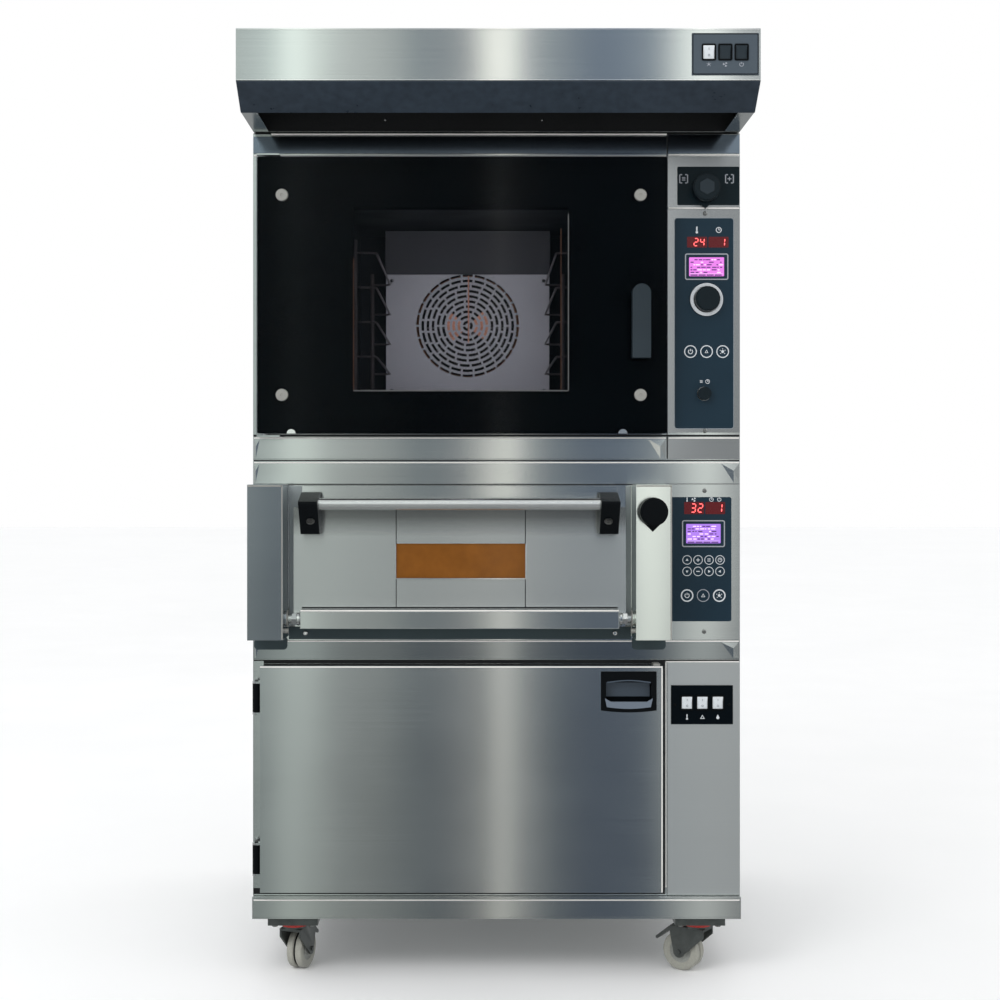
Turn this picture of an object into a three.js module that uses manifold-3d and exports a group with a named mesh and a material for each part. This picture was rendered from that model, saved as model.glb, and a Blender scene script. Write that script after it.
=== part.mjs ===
// A bakery oven tower: a proving cabinet on castors, a deck oven with a drop-down door, a convection
// oven with a glass door, and an extraction hood, stacked on one welded base.
// Millimetres, +Z up. x runs to the right, y runs from the front to the back, and z = 0 is the floor.
import * as THREE from "three";
import { mergeVertices } from "three/addons/utils/BufferGeometryUtils.js";
import Module from "manifold-3d";

const wasm = await Module();
wasm.setup();

// ---------------------------------------------------------------- driving dimensions
const HALF = 500; // half the width of every cabinet
const DEPTH = 900; // cabinets' depth, behind their common front plane
const SHEET = 2; // folded stainless sheet
const GAP = 0.5; // seam between neighbouring pieces
const OVERHANG = 249.69; // how far the hood's switches stand in front of the cabinets
const FRONT_Y = (OVERHANG - DEPTH) / 2; // front plane of the cabinets, with the origin under the middle

const BASE_Z = 122; // underside of the base skirt
const BASE_TOP = 167; // proving cabinet stands here
const PROOFER_TOP = 649; // deck oven stands here
const DECK_TOP = 1060; // convection oven stands here
const OVEN_TOP = 1732; // hood stands here
const HOOD_TOP = 1877;

const COLUMN = [351, 499.5]; // control column at the right of every cabinet
const PANEL_FRONT = -2; // face of the column's panels

// ---------------------------------------------------------------- materials
const material = (color, roughness, metalness, more = {}) =>
  new THREE.MeshStandardMaterial({ color, roughness, metalness, ...more });
const STEEL = material(0xb4b8b6, 0.32, 1);
const INNER_STEEL = material(0x9a9da0, 0.4, 1);
const ZINC = material(0xa8abae, 0.35, 1);
const BLACK_PLASTIC = material(0x15171a, 0.5, 0);
const SMOKED = material(0x232b33, 0.3, 0.1);
const WHITE_ROCKER = material(0xf0f4f8, 0.3, 0);
const BLACK_GLASS = material(0x050708, 0.06, 0);
const CLEAR_GLASS = material(0xcfd8d8, 0.05, 0, { transparent: true, opacity: 0.3 });
const AMBER_GLASS = material(0x7a4a14, 0.1, 0, { transparent: true, opacity: 0.8 });
const HEATER = material(0x6a4a3a, 0.5, 0.8);
const STONE = material(0xa89c86, 0.95, 0);
const TYRE = material(0x9c9a90, 0.7, 0);
const ALUMINIUM = material(0xa0a0a0, 0.5, 1);

// ---------------------------------------------------------------- solids
// A closed three.js geometry as a manifold-3d solid.
function solid(geometry) {
  const bare = new THREE.BufferGeometry();
  bare.setAttribute("position", geometry.getAttribute("position"));
  bare.setIndex(geometry.getIndex());
  const merged = mergeVertices(bare, 1e-4);
  return new wasm.Manifold(
    new wasm.Mesh({
      numProp: 3,
      vertProperties: new Float32Array(merged.attributes.position.array),
      triVerts: new Uint32Array(merged.index.array),
    }),
  );
}

function block([x0, x1], [y0, y1], [z0, z1]) {
  const geometry = new THREE.BoxGeometry(x1 - x0, y1 - y0, z1 - z0);
  return solid(geometry.translate((x0 + x1) / 2, (y0 + y1) / 2, (z0 + z1) / 2));
}

// An outline drawn across an axis and drawn out along it. Across x it is drawn in (y, z), across y in
// (x, z) and across z in (x, y).
function extrude(outline, axis, [from, to], curveSegments = 12) {
  const geometry = new THREE.ExtrudeGeometry(outline, {
    depth: to - from,
    bevelEnabled: false,
    curveSegments,
  });
  const [X, Y, Z] = [new THREE.Vector3(1, 0, 0), new THREE.Vector3(0, 1, 0), new THREE.Vector3(0, 0, 1)];
  const turn = new THREE.Matrix4();
  if (axis === "x") turn.makeBasis(Y, Z, X).setPosition(from, 0, 0);
  if (axis === "y") turn.makeBasis(X, Z, Y.clone().negate()).setPosition(0, to, 0);
  if (axis === "z") turn.setPosition(0, 0, from);
  return solid(geometry.applyMatrix4(turn));
}

// A round bar along an axis; the centre is given in the other two coordinates, in x, y, z order.
function bar(axis, radius, span, [a, b], sides = 24) {
  const outline = new THREE.Shape();
  for (let i = 0; i < sides; i++) {
    const angle = ((i + 0.5) / sides) * 2 * Math.PI;
    outline[i ? "lineTo" : "moveTo"](a + radius * Math.cos(angle), b + radius * Math.sin(angle));
  }
  return extrude(outline, axis, span);
}

function polygon(points) {
  return new THREE.Shape(points.map(([a, b]) => new THREE.Vector2(a, b)));
}

const joined = (first, ...others) => others.reduce((sum, piece) => sum.add(piece), first);
const grown = ([low, high], by) => [low - by, high + by];
const both = (x, width) => [[x - width, x], [-x, -x + width]]; // a span and its mirror image about x = 0

function mesh(name, made, look) {
  const { numProp, vertProperties, triVerts, numVert } = made.getMesh();
  const places = new Float32Array(numVert * 3);
  for (let i = 0; i < numVert; i++) {
    places.set(vertProperties.subarray(i * numProp, i * numProp + 3), i * 3);
  }
  const geometry = new THREE.BufferGeometry();
  geometry.setAttribute("position", new THREE.BufferAttribute(places, 3));
  geometry.setIndex(new THREE.BufferAttribute(triVerts, 1));
  geometry.computeVertexNormals();
  const shown = new THREE.Mesh(geometry, look);
  shown.name = name;
  return shown;
}

// ---------------------------------------------------------------- shared sub-parts
// A closed sheet cabinet whose front has a mouth and a window behind the control column.
function cabinet([z0, z1], mouths) {
  let made = block([-HALF, HALF], [0, DEPTH], [z0, z1]).subtract(
    block([SHEET - HALF, HALF - SHEET], [SHEET, DEPTH - SHEET], [z0 + SHEET, z1 - SHEET]),
  );
  for (const [x, z] of mouths) made = made.subtract(block(x, [-1, SHEET + 1], z));
  return made;
}

// A box liner behind the cabinet's front sheet, open at the front, with a flange round its mouth.
function liner([x, z], depth, flange) {
  const front = SHEET + GAP;
  return joined(
    block(grown(x, SHEET), [front, depth + SHEET], grown(z, SHEET)),
    block(grown(x, flange), [front, front + SHEET], grown(z, flange)),
  ).subtract(block(x, [front - 1, depth], z));
}

// A panel of the control column: a face in front of the cabinet and a folded edge behind it.
function columnPanel(z) {
  const [inset, fold] = [8, 15];
  const [x, y] = [COLUMN, [PANEL_FRONT, PANEL_FRONT + 1.5]];
  return joined(
    block(x, y, z),
    block(grown(x, -inset), [y[0] + 0.5, fold], grown(z, -inset)),
  ).subtract(block(grown(x, -inset - 1.5), [y[1], fold + 1], grown(z, -inset - 1.5)));
}

// A rocker switch: its front is a shallow V, and it lies tipped about a pin behind the plate.
const ROCKER = { width: 21, half: 12.6, rise: 6.5, valley: 4.5, back: -3, pivot: 6, tip: 8 };
function rocker(name, x, z, plateFront, look) {
  const outline = polygon([
    [-ROCKER.back, -11],
    [-ROCKER.back, 11],
    [-ROCKER.rise, ROCKER.half],
    [-ROCKER.valley, 0],
    [-ROCKER.rise, -ROCKER.half],
  ]);
  const made = mesh(name, extrude(outline, "x", [-ROCKER.width / 2, ROCKER.width / 2]), look);
  made.position.set(x, plateFront + ROCKER.pivot, z);
  made.rotation.x = THREE.MathUtils.degToRad(ROCKER.tip);
  return made;
}

const ROCKER_HOLE = { width: 22.6, height: 29 };
function switchPlate(name, x, z, front, centres, rockerZ) {
  let made = block(x, [front, front + 2], z);
  const tall = grown([rockerZ, rockerZ], ROCKER_HOLE.height / 2);
  for (const centre of centres) {
    const wide = grown([centre, centre], ROCKER_HOLE.width / 2);
    made = made.subtract(block(wide, [front - 1, front + 3], tall));
  }
  return mesh(name, made, BLACK_PLASTIC);
}

// A knob with a pointer skirt and a shaft that runs back into the panel.
const KNOB = { radius: 28, length: 26, skirt: 2.5, tip: 40, shaft: 4 };
function pointerKnob(name, x, z, panelFront, shaftLength) {
  const back = panelFront - 2;
  const touch = Math.acos(KNOB.radius / KNOB.tip);
  const skirt = new THREE.Shape();
  skirt.absarc(x, z, KNOB.radius + 0.5, touch - Math.PI / 2, 1.5 * Math.PI - touch, false);
  skirt.lineTo(x, z - KNOB.tip);
  const front = back - KNOB.skirt - KNOB.length;
  return mesh(
    name,
    joined(
      extrude(skirt, "y", [back - KNOB.skirt, back], 12),
      bar("y", KNOB.radius, [front + 3, back - 1], [x, z]),
      bar("y", KNOB.radius - 2.5, [front, front + 4], [x, z]),
      bar("y", KNOB.shaft, [back - 1, back + shaftLength], [x, z], 10),
    ),
    BLACK_PLASTIC,
  );
}

// ---------------------------------------------------------------- castors and base
const CASTOR = {
  x: 418,
  front: 38,
  rear: DEPTH - 62,
  trail: 32,
  radius: 40,
  head: 105.5,
  plate: 106,
  sides: 24,
};
// Which way each castor trails, in degrees from +x, as it was left when the tower was parked.
const CASTORS = [
  { tag: "fl", x: -CASTOR.x, y: CASTOR.front, trails: 72, brake: true },
  { tag: "fr", x: CASTOR.x, y: CASTOR.front, trails: 146, brake: true },
  { tag: "rl", x: -CASTOR.x, y: CASTOR.rear, trails: -100, brake: false },
  { tag: "rr", x: CASTOR.x, y: CASTOR.rear, trails: -72, brake: false },
];

function castorFork(tag) {
  const cheek = new THREE.Shape();
  cheek.moveTo(-24, 93);
  cheek.lineTo(-24, 76);
  cheek.absarc(CASTOR.trail, CASTOR.radius, 12, 1.15 * Math.PI, 2 * Math.PI, false);
  cheek.lineTo(52, 80);
  cheek.lineTo(52, 93);
  return mesh(
    `castor_fork_${tag}`,
    joined(
      bar("z", 26, [92, CASTOR.head], [0, 0], 20),
      block([-24, 52], [-24, 24], [88, 93]),
      extrude(cheek, "y", [20, 24], 4),
      extrude(cheek, "y", [-24, -20], 4),
      bar("y", 5, [-27, 27], [CASTOR.trail, CASTOR.radius], 10),
    ),
    ZINC,
  );
}

// The tyre's flats lie at its nominal radius, so that it stands on one of them.
function castorWheel(tag) {
  const outer = CASTOR.radius / Math.cos(Math.PI / CASTOR.sides);
  const half = [
    [5.5, 16],
    [30, 16],
    [38, 17],
    [outer, 14],
    [outer, 2.5],
    [35, 2.5],
  ];
  const profile = [...half.map(([r, w]) => [r, -w]), ...half.toReversed()];
  const points = [...profile, profile[0]].map(([r, w]) => new THREE.Vector2(r, w));
  const lathe = new THREE.LatheGeometry(points, CASTOR.sides, Math.PI / CASTOR.sides);
  const made = mesh(`castor_wheel_${tag}`, solid(lathe), TYRE);
  made.position.set(CASTOR.trail, 0, CASTOR.radius);
  return made;
}

function castorBrake(tag) {
  const lever = polygon([
    [54.5, 86],
    [54.5, 80],
    [63, 75],
    [86, 57],
    [90, 58],
    [90, 62],
    [67, 81],
    [60, 87],
  ]);
  return mesh(`castor_brake_${tag}`, extrude(lever, "y", [-14, 14]), BLACK_PLASTIC);
}

function castor({ tag, x, y, trails, brake }) {
  const group = new THREE.Group();
  group.position.set(x, y, 0);
  group.rotation.z = THREE.MathUtils.degToRad(trails);
  group.add(castorFork(tag), castorWheel(tag));
  if (brake) group.add(castorBrake(tag));
  return group;
}

// A tray turned upside down, with a block and a plate over each castor.
function baseFrame() {
  const [lip, skirt, deck] = [13, 2, 2];
  let made = block([-HALF, HALF], [-lip, DEPTH], [BASE_Z, BASE_TOP]).subtract(
    block([skirt - HALF, HALF - skirt], [skirt - lip, DEPTH - skirt], [BASE_Z - 1, BASE_TOP - deck]),
  );
  for (const { x, y } of CASTORS) {
    made = made.add(block(grown([x, x], 46), grown([y, y], 36), [CASTOR.plate + 5, BASE_TOP - 1]));
    made = made.add(block(grown([x, x], 50), grown([y, y], 40), [CASTOR.plate, CASTOR.plate + 6]));
  }
  return mesh("base_frame", made, STEEL);
}

// ---------------------------------------------------------------- proving cabinet
const PROOFER = {
  mouth: [[-385, 235], [BASE_TOP + 30, BASE_TOP + 461]],
  depth: 700,
  panel: [BASE_TOP + 2, PROOFER_TOP - 2],
  door: { x: [-480, 337], y: [-41, -3], z: [BASE_TOP + 16, BASE_TOP + 476] },
  handle: { x: [211, 324], z: [BASE_TOP + 384, BASE_TOP + 465] },
  hinge: { x: -490, y: -20, radius: 8, pin: 4, levels: [BASE_TOP + 80, BASE_TOP + 409], half: 29 },
  switches: {
    x: [390.6, 422.2, 453.8],
    z: BASE_TOP + 397,
    plate: [358, 485],
    tall: [BASE_TOP + 352, BASE_TOP + 432],
  },
};

function prooferCasing() {
  const z = [BASE_TOP + GAP, PROOFER_TOP - GAP];
  return mesh("proofer_casing", cabinet(z, [PROOFER.mouth, columnWindow(PROOFER.panel)]), STEEL);
}

// The opening that a column panel covers.
function columnWindow(z) {
  return [grown(COLUMN, -6.5), grown(z, -6.5)];
}

// The liner has pressed ribs that carry trays.
function prooferLiner() {
  const [x, z] = PROOFER.mouth;
  const rib = { count: 5, pitch: 74, first: 62, wide: 20, tall: 6 };
  let made = liner(PROOFER.mouth, PROOFER.depth, 16);
  for (let i = 0; i < rib.count; i++) {
    const level = [z[0] + rib.first + i * rib.pitch, z[0] + rib.first + i * rib.pitch + rib.tall];
    made = made.add(block([x[0] - 1, x[0] + rib.wide], [40, PROOFER.depth - 20], level));
    made = made.add(block([x[1] - rib.wide, x[1] + 1], [40, PROOFER.depth - 20], level));
  }
  return mesh("proofer_liner", made, INNER_STEEL);
}

function humidityPan() {
  const [x, y, z] = [[-215, 85], [450, 650], [PROOFER.mouth[1][0] + GAP, PROOFER.mouth[1][0] + 36]];
  const made = block(x, y, z).subtract(block(grown(x, -2), grown(y, -2), [z[0] + 2, z[1] + 1]));
  return mesh("humidity_pan", made, INNER_STEEL);
}

function switchWindow({ x, z }) {
  return [[x[0] - 15, x[2] + 15], grown([z, z], 18)];
}

function prooferFrontPanel() {
  const [x, z] = switchWindow(PROOFER.switches);
  const made = columnPanel(PROOFER.panel).subtract(block(x, [-3, 3], z));
  return mesh("proofer_front_panel", made, STEEL);
}

// A hollow door with a recess for the handle and a lug above and below each hinge.
function prooferDoor() {
  const { door, handle, hinge } = PROOFER;
  let made = block(door.x, door.y, door.z).subtract(
    block(grown(door.x, -SHEET), grown(door.y, -SHEET), grown(door.z, -SHEET)),
  );
  made = made.subtract(block(grown(handle.x, -6), [door.y[0] - 1, door.y[0] + 10], grown(handle.z, -6)));
  const [near, far] = [hinge.half + GAP, hinge.half + 5];
  for (const level of hinge.levels) {
    for (const z of [[level + near, level + far], [level - far, level - near]]) {
      const lug = block([hinge.x, door.x[0] + 3], grown([hinge.y, hinge.y], hinge.radius), z)
        .add(bar("z", hinge.radius, z, [hinge.x, hinge.y], 16))
        .subtract(bar("z", hinge.pin + 0.4, grown(z, 1), [hinge.x, hinge.y], 10));
      made = made.add(lug);
    }
  }
  return mesh("proofer_door", made, STEEL);
}

// A cup let into the door: a front flange, a finger pocket, and a grip bar over the pocket's upper part.
function prooferDoorHandle() {
  const { door, handle } = PROOFER;
  const front = door.y[0];
  const [width, cup] = [7.5, 28];
  const [z0, z1] = handle.z;
  const middle = (handle.x[0] + handle.x[1]) / 2;
  const flange = new THREE.Shape();
  flange.moveTo(handle.x[0], z1);
  flange.lineTo(handle.x[0], z0 + 2);
  flange.quadraticCurveTo(middle, z0 - 6, handle.x[1], z0 + 2);
  flange.lineTo(handle.x[1], z1);
  const pocket = polygon([
    [front - 3, z0 + 8],
    [front + 8, z0 + 14],
    [front + 24, z0 + 34],
    [front + 24, z1 - 9],
    [front + 7, z1 - 9],
    [front + 7, z1 - 22],
    [front - 3, z1 - 22],
  ]);
  return mesh(
    "proofer_door_handle",
    extrude(flange, "y", [front - 2.5, front - GAP], 10)
      .add(block(grown(handle.x, -width), [front - 1.5, front + cup], grown(handle.z, -6.5)))
      .subtract(extrude(pocket, "x", grown(handle.x, -width - 3))),
    BLACK_PLASTIC,
  );
}

// The fixed half of a hinge: a barrel with a pin at each end, on a block against the cabinet's front.
function prooferHinge(name, level) {
  const { x, y, radius, pin, half } = PROOFER.hinge;
  return mesh(
    name,
    joined(
      bar("z", radius, [level - half, level + half], [x, y], 16),
      block([x - radius, x + 5], [y, -GAP], [level - half, level + half]),
      bar("z", pin, [level - half - 6, level + half + 6], [x, y], 10),
    ),
    BLACK_PLASTIC,
  );
}

function prooferSwitches() {
  const { x, z, plate, tall } = PROOFER.switches;
  const front = PANEL_FRONT - 2.5;
  return [
    switchPlate("proofer_switch_plate", plate, tall, front, x, z),
    ...x.map((at, i) => rocker(`proofer_switch_${i + 1}`, at, z, front, WHITE_ROCKER)),
  ];
}

function proofer() {
  const [low, high] = PROOFER.hinge.levels;
  return [
    prooferCasing(),
    prooferLiner(),
    humidityPan(),
    prooferFrontPanel(),
    prooferDoor(),
    prooferDoorHandle(),
    prooferHinge("proofer_hinge_lower", low),
    prooferHinge("proofer_hinge_upper", high),
    ...prooferSwitches(),
  ];
}

// ---------------------------------------------------------------- deck oven
const DECK = {
  x: -75, // centre of the door and of the chamber
  mouth: [[-395, 245], [PROOFER_TOP + 126, PROOFER_TOP + 306]],
  depth: 640,
  axis: { y: -50, z: PROOFER_TOP + 91, pin: 9 },
  door: { x: [-412, 262], y: [-40, -8], z: [PROOFER_TOP + 100, PROOFER_TOP + 315.5] },
  rail: { x: [-395.5, 245.5], y: [-69, -31], z: [PROOFER_TOP + 72, PROOFER_TOP + 110] },
  window: { x: [-204, 58], z: [PROOFER_TOP + 172, PROOFER_TOP + 242] },
  pillars: {
    left: [-498.5, -427],
    right: [277, 348.5],
    y: [-95, -1],
    z: [PROOFER_TOP + 51, PROOFER_TOP + 362],
  },
  tube: { y: -100, z: PROOFER_TOP + 323, radius: 12 },
  brackets: { left: [-393, -355], right: [205, 243] },
  knob: { x: 310, z: PROOFER_TOP + 308 },
};

// The front has a strip above and below, and a trim stands out over the door.
function deckCasing() {
  const z = [PROOFER_TOP + GAP, DECK_TOP - GAP];
  const panel = [PROOFER_TOP + 43, PROOFER_TOP + 362];
  const [x, y, trim] = [[-394, 244], [-50, 1], [PROOFER_TOP + 322, PROOFER_TOP + 359]];
  const hollow = block(grown(x, -SHEET), [y[0] + SHEET, 0], [trim[0] - 1, trim[1] - SHEET]);
  const hood = block(x, y, trim).subtract(hollow);
  return mesh("deck_casing", cabinet(z, [DECK.mouth, columnWindow(panel)]).add(hood), STEEL);
}

function deckStone() {
  const [x, z] = DECK.mouth;
  return mesh("deck_stone", block(grown(x, -4), [12, DECK.depth - 6], [z[0] + GAP, z[0] + 20]), STONE);
}

// A serpentine element under the chamber's roof; its two ends run out through the back.
function deckHeater() {
  const run = { legs: 6, pitch: 100, front: 60, back: 560, radius: 4, z: DECK.mouth[1][1] - 18 };
  const path = new THREE.CurvePath();
  const at = (x, y) => new THREE.Vector3(x, y, run.z);
  const first = DECK.x - ((run.legs - 1) * run.pitch) / 2;
  const points = [at(first, DECK.depth - 4)];
  for (let leg = 0; leg < run.legs; leg++) {
    const x = first + leg * run.pitch;
    const ends = leg % 2 ? [run.front, run.back] : [run.back, run.front];
    if (leg === run.legs - 1) ends[1] = DECK.depth - 4;
    points.push(at(x, ends[0] + (leg % 2 ? 25 : -25)), at(x, ends[1] + (leg % 2 ? -25 : 25)));
    if (leg < run.legs - 1) points.push(at(x + run.pitch / 2, ends[1]));
  }
  for (let i = 1; i < points.length; i++) path.add(new THREE.LineCurve3(points[i - 1], points[i]));
  const section = new THREE.Shape();
  const sides = 6;
  for (let i = 0; i < sides; i++) {
    const angle = (i / sides) * 2 * Math.PI;
    section[i ? "lineTo" : "moveTo"](run.radius * Math.cos(angle), run.radius * Math.sin(angle));
  }
  const route = new THREE.CatmullRomCurve3(path.getSpacedPoints(48), false, "catmullrom", 0.1);
  const tube = new THREE.ExtrudeGeometry(section, { steps: 48, extrudePath: route, bevelEnabled: false });
  return mesh("deck_heater_top", solid(tube), HEATER);
}

// A folded cover beside the door, open at the back, with a bearing for the door's pin in its inner wall.
function deckPillar(name, x, inner) {
  const { y, z } = DECK.pillars;
  const { axis, knob } = DECK;
  const wall = inner > 0 ? x[1] : x[0];
  const disc = [wall, wall + inner * 3].sort((a, b) => a - b);
  let made = block(x, y, z).subtract(block(grown(x, -SHEET), [y[0] + SHEET, y[1] + 1], grown(z, -SHEET)));
  made = made.add(bar("x", 15, grown(disc, 0.5), [axis.y, axis.z]));
  made = made.subtract(bar("x", axis.pin + GAP, grown([wall, wall], 8), [axis.y, axis.z]));
  if (inner < 0) made = made.subtract(bar("y", 5, [y[0] - 1, y[0] + 3], [knob.x, knob.z], 16));
  return mesh(name, made, STEEL);
}

// A hollow door on a hinge rail whose pins run into the pillars. Grooves part the middle section.
function deckDoor() {
  const { door, rail, window, axis } = DECK;
  let made = block(door.x, door.y, door.z).subtract(
    block(grown(door.x, -SHEET), grown(door.y, -SHEET), [door.z[0] + 12, door.z[1] - SHEET]),
  );
  made = made.subtract(block(window.x, grown(door.y, 1), window.z));
  for (const x of window.x) {
    const groove = grown([x, x], 0.8);
    made = made.subtract(block(groove, [door.y[0] - 1, door.y[0] + 1], [rail.z[1], door.z[1] + 1]));
  }
  made = made.add(block(rail.x, rail.y, rail.z));
  made = made.subtract(block(grown(rail.x, 1), grown(rail.y, -SHEET * 2), grown(rail.z, -SHEET * 2)));
  const caps = [[rail.x[0], rail.x[0] + 5], [rail.x[1] - 5, rail.x[1]]];
  for (const cap of caps) made = made.add(block(cap, grown(rail.y, -1), grown(rail.z, -1)));
  made = made.add(bar("x", axis.pin, [-432, rail.x[0] + 3], [axis.y, axis.z]));
  made = made.add(bar("x", axis.pin, [rail.x[1] - 3, 282], [axis.y, axis.z]));
  made = made.subtract(bar("z", 4, [rail.z[0] - 1, rail.z[0] + 6], [DECK.x, axis.y], 12));
  return mesh("deck_door", made, STEEL);
}

function deckDoorGlass() {
  const { door, window } = DECK;
  const y = [door.y[0] + SHEET + GAP, door.y[0] + SHEET + GAP + 6];
  return mesh("deck_door_glass", block(grown(window.x, 8), y, grown(window.z, 8)), AMBER_GLASS);
}

function deckHandleBar() {
  const { tube, brackets } = DECK;
  const span = [brackets.left[1] - 22, brackets.right[0] + 22];
  return mesh("deck_handle_bar", bar("x", tube.radius, span, [tube.y, tube.z], 28), STEEL);
}

// A leaning bracket: it stands on the door's face and holds the end of the handle tube.
function deckBracket(name, x, inner) {
  const { door, tube } = DECK;
  const top = door.z[1];
  const side = polygon([
    [door.y[0] - GAP, top - 53],
    [door.y[0] - GAP, top - 3],
    [-56, top + 3],
    [-62, top + 27],
    [-70, top + 31],
    [-130, top + 13],
    [-130, top + 8],
    [-82, top - 53],
  ]);
  const mouth = inner > 0 ? [x[1] - 23, x[1] + 1] : [x[0] - 1, x[0] + 23];
  const made = extrude(side, "x", x).subtract(bar("x", tube.radius + 0.4, mouth, [tube.y, tube.z], 28));
  return mesh(name, made, BLACK_PLASTIC);
}

function deckOven() {
  const { pillars, brackets, knob } = DECK;
  return [
    deckCasing(),
    mesh("deck_chamber", liner(DECK.mouth, DECK.depth, 14), INNER_STEEL),
    deckStone(),
    deckHeater(),
    deckPillar("deck_pillar_left", pillars.left, 1),
    deckPillar("deck_pillar_right", pillars.right, -1),
    mesh("deck_control_panel", columnPanel([PROOFER_TOP + 43, PROOFER_TOP + 362]), STEEL),
    deckDoor(),
    deckDoorGlass(),
    deckHandleBar(),
    deckBracket("deck_bracket_left", brackets.left, 1),
    deckBracket("deck_bracket_right", brackets.right, -1),
    pointerKnob("deck_vent_knob", knob.x, knob.z, pillars.y[0], 40),
  ];
}

// ---------------------------------------------------------------- convection oven
const OVEN = {
  x: -62, // centre of the chamber and of the fan
  mouth: [[-332, 208], [DECK_TOP + 130, DECK_TOP + 572]],
  depth: 720,
  fan: { z: DECK_TOP + 338, guard: 620, guardRadius: 126 },
  door: { x: [-487.5, 346.5], z: [DECK_TOP + 53, DECK_TOP + 617], glass: [-46, -40], frame: [-38, -6] },
  hinge: { x: -472, y: -26, pin: 3.5 },
  window: [[-291.5, 146.5], [DECK_TOP + 140.5, DECK_TOP + 513.5]],
  studs: { x: [-434.5, 290.5], z: [DECK_TOP + 132, DECK_TOP + 536.5] },
  lever: { x: 289.4, z: DECK_TOP + 334.5, radius: 18.5, foot: DECK_TOP + 204.6 },
  panels: { main: [DECK_TOP + 57.5, DECK_TOP + 516], vent: [DECK_TOP + 518.5, DECK_TOP + 624.5] },
  dial: { x: 430.6, z: DECK_TOP + 330 },
  reset: { x: 426, z: DECK_TOP + 137 },
  vent: { x: 428, z: DECK_TOP + 556 },
};

// Brackets with pins stand out of the front at the door's hinge edge.
function convectionCasing() {
  const { hinge, door, panels } = OVEN;
  const z = [DECK_TOP + GAP, OVEN_TOP - GAP];
  let made = cabinet(z, [OVEN.mouth, columnWindow(panels.main), columnWindow(panels.vent)]);
  const [low, high] = [[door.z[0] - 6, door.z[0] - 2], [door.z[1] + 2, door.z[1] + 6]];
  const [x, y] = [[hinge.x - 15, hinge.x + 32], [hinge.y - 14, 1]];
  for (const level of [low, high]) made = made.add(block(x, y, level));
  made = made.add(bar("z", hinge.pin, [low[1] - 1, low[1] + 16], [hinge.x, hinge.y], 16));
  made = made.add(bar("z", hinge.pin, [high[0] - 16, high[0] + 1], [hinge.x, hinge.y], 16));
  return mesh("convection_casing", made, STEEL);
}

function convectionChamber() {
  const { x, fan, depth } = OVEN;
  const shaft = bar("y", 11, [depth - 2, depth + 4], [x, fan.z]);
  return mesh("convection_chamber", liner(OVEN.mouth, depth, 16).subtract(shaft), INNER_STEEL);
}

// The guard before the fan: a plate on four legs, with rings of curved slots.
function fanBaffle() {
  const { x, fan } = OVEN;
  const [rings, slots, slotWidth, bridge] = [5, 4, 13, 8];
  const plate = { x: grown([x, x], 200), y: [fan.guard, fan.guard + SHEET], z: [fan.z - 173, fan.z + 169] };
  let made = block(plate.x, plate.y, plate.z);
  for (let ring = 1; ring <= rings; ring++) {
    const outer = (fan.guardRadius * ring) / rings;
    for (let slot = 0; slot < slots; slot++) {
      const from = ((slot + (ring % 2) / 2) / slots) * 2 * Math.PI + bridge / outer;
      const to = from + (2 * Math.PI) / slots - (2 * bridge) / outer;
      const hole = new THREE.Shape();
      hole.absarc(x, fan.z, outer, from, to, false);
      hole.absarc(x, fan.z, outer - slotWidth, to, from, true);
      made = made.subtract(extrude(hole, "y", grown(plate.y, 1), 1 + Math.ceil(ring / 2)));
    }
  }
  for (const px of grown(plate.x, -10)) {
    for (const pz of grown(plate.z, -10)) {
      made = made.add(block(grown([px, px], 5), [fan.guard + 1, OVEN.depth - GAP], grown([pz, pz], 5)));
    }
  }
  return mesh("fan_baffle", made, INNER_STEEL);
}

function fanImpeller() {
  const { x, fan, depth } = OVEN;
  const wheel = { blades: 10, inner: 38, outer: 104, front: depth - 72, back: depth - 32 };
  let made = joined(
    bar("y", wheel.outer, [wheel.back, wheel.back + 3], [x, fan.z], 30),
    bar("y", 20, [wheel.front - 6, wheel.back + 2], [x, fan.z], 16),
    bar("y", 8, [wheel.back, depth + 50], [x, fan.z], 12),
  );
  const blade = block([wheel.inner, wheel.outer - 1], [wheel.front, wheel.back + 1], [-1, 1]);
  for (let i = 0; i < wheel.blades; i++) {
    made = made.add(blade.rotate([0, (i * 360) / wheel.blades, 0]).translate([x, 0, fan.z]));
  }
  return mesh("fan_impeller", made, INNER_STEEL);
}

function fanMotor() {
  const { x, fan, depth } = OVEN;
  const front = depth + SHEET + GAP;
  const made = joined(
    bar("y", 75, [front, front + 6], [x, fan.z]),
    bar("y", 55, [front + 5, front + 120], [x, fan.z]),
  ).subtract(bar("y", 9, [front - 1, front + 60], [x, fan.z], 12));
  return mesh("fan_motor", made, ALUMINIUM);
}

// A ring element round the impeller, with two legs through to the back wall.
function ringHeater() {
  const { x, fan, depth } = OVEN;
  const [ring, tube, y] = [125, 4.5, depth - 52];
  const torus = new THREE.TorusGeometry(ring, tube, 6, 30).rotateX(Math.PI / 2).translate(x, y, fan.z);
  const legs = [-12, 12].map((at) => bar("y", 4, [y, depth - GAP], [x + at, fan.z - ring + 0.5], 8));
  return mesh("ring_heater", joined(solid(torus), ...legs), HEATER);
}

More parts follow.
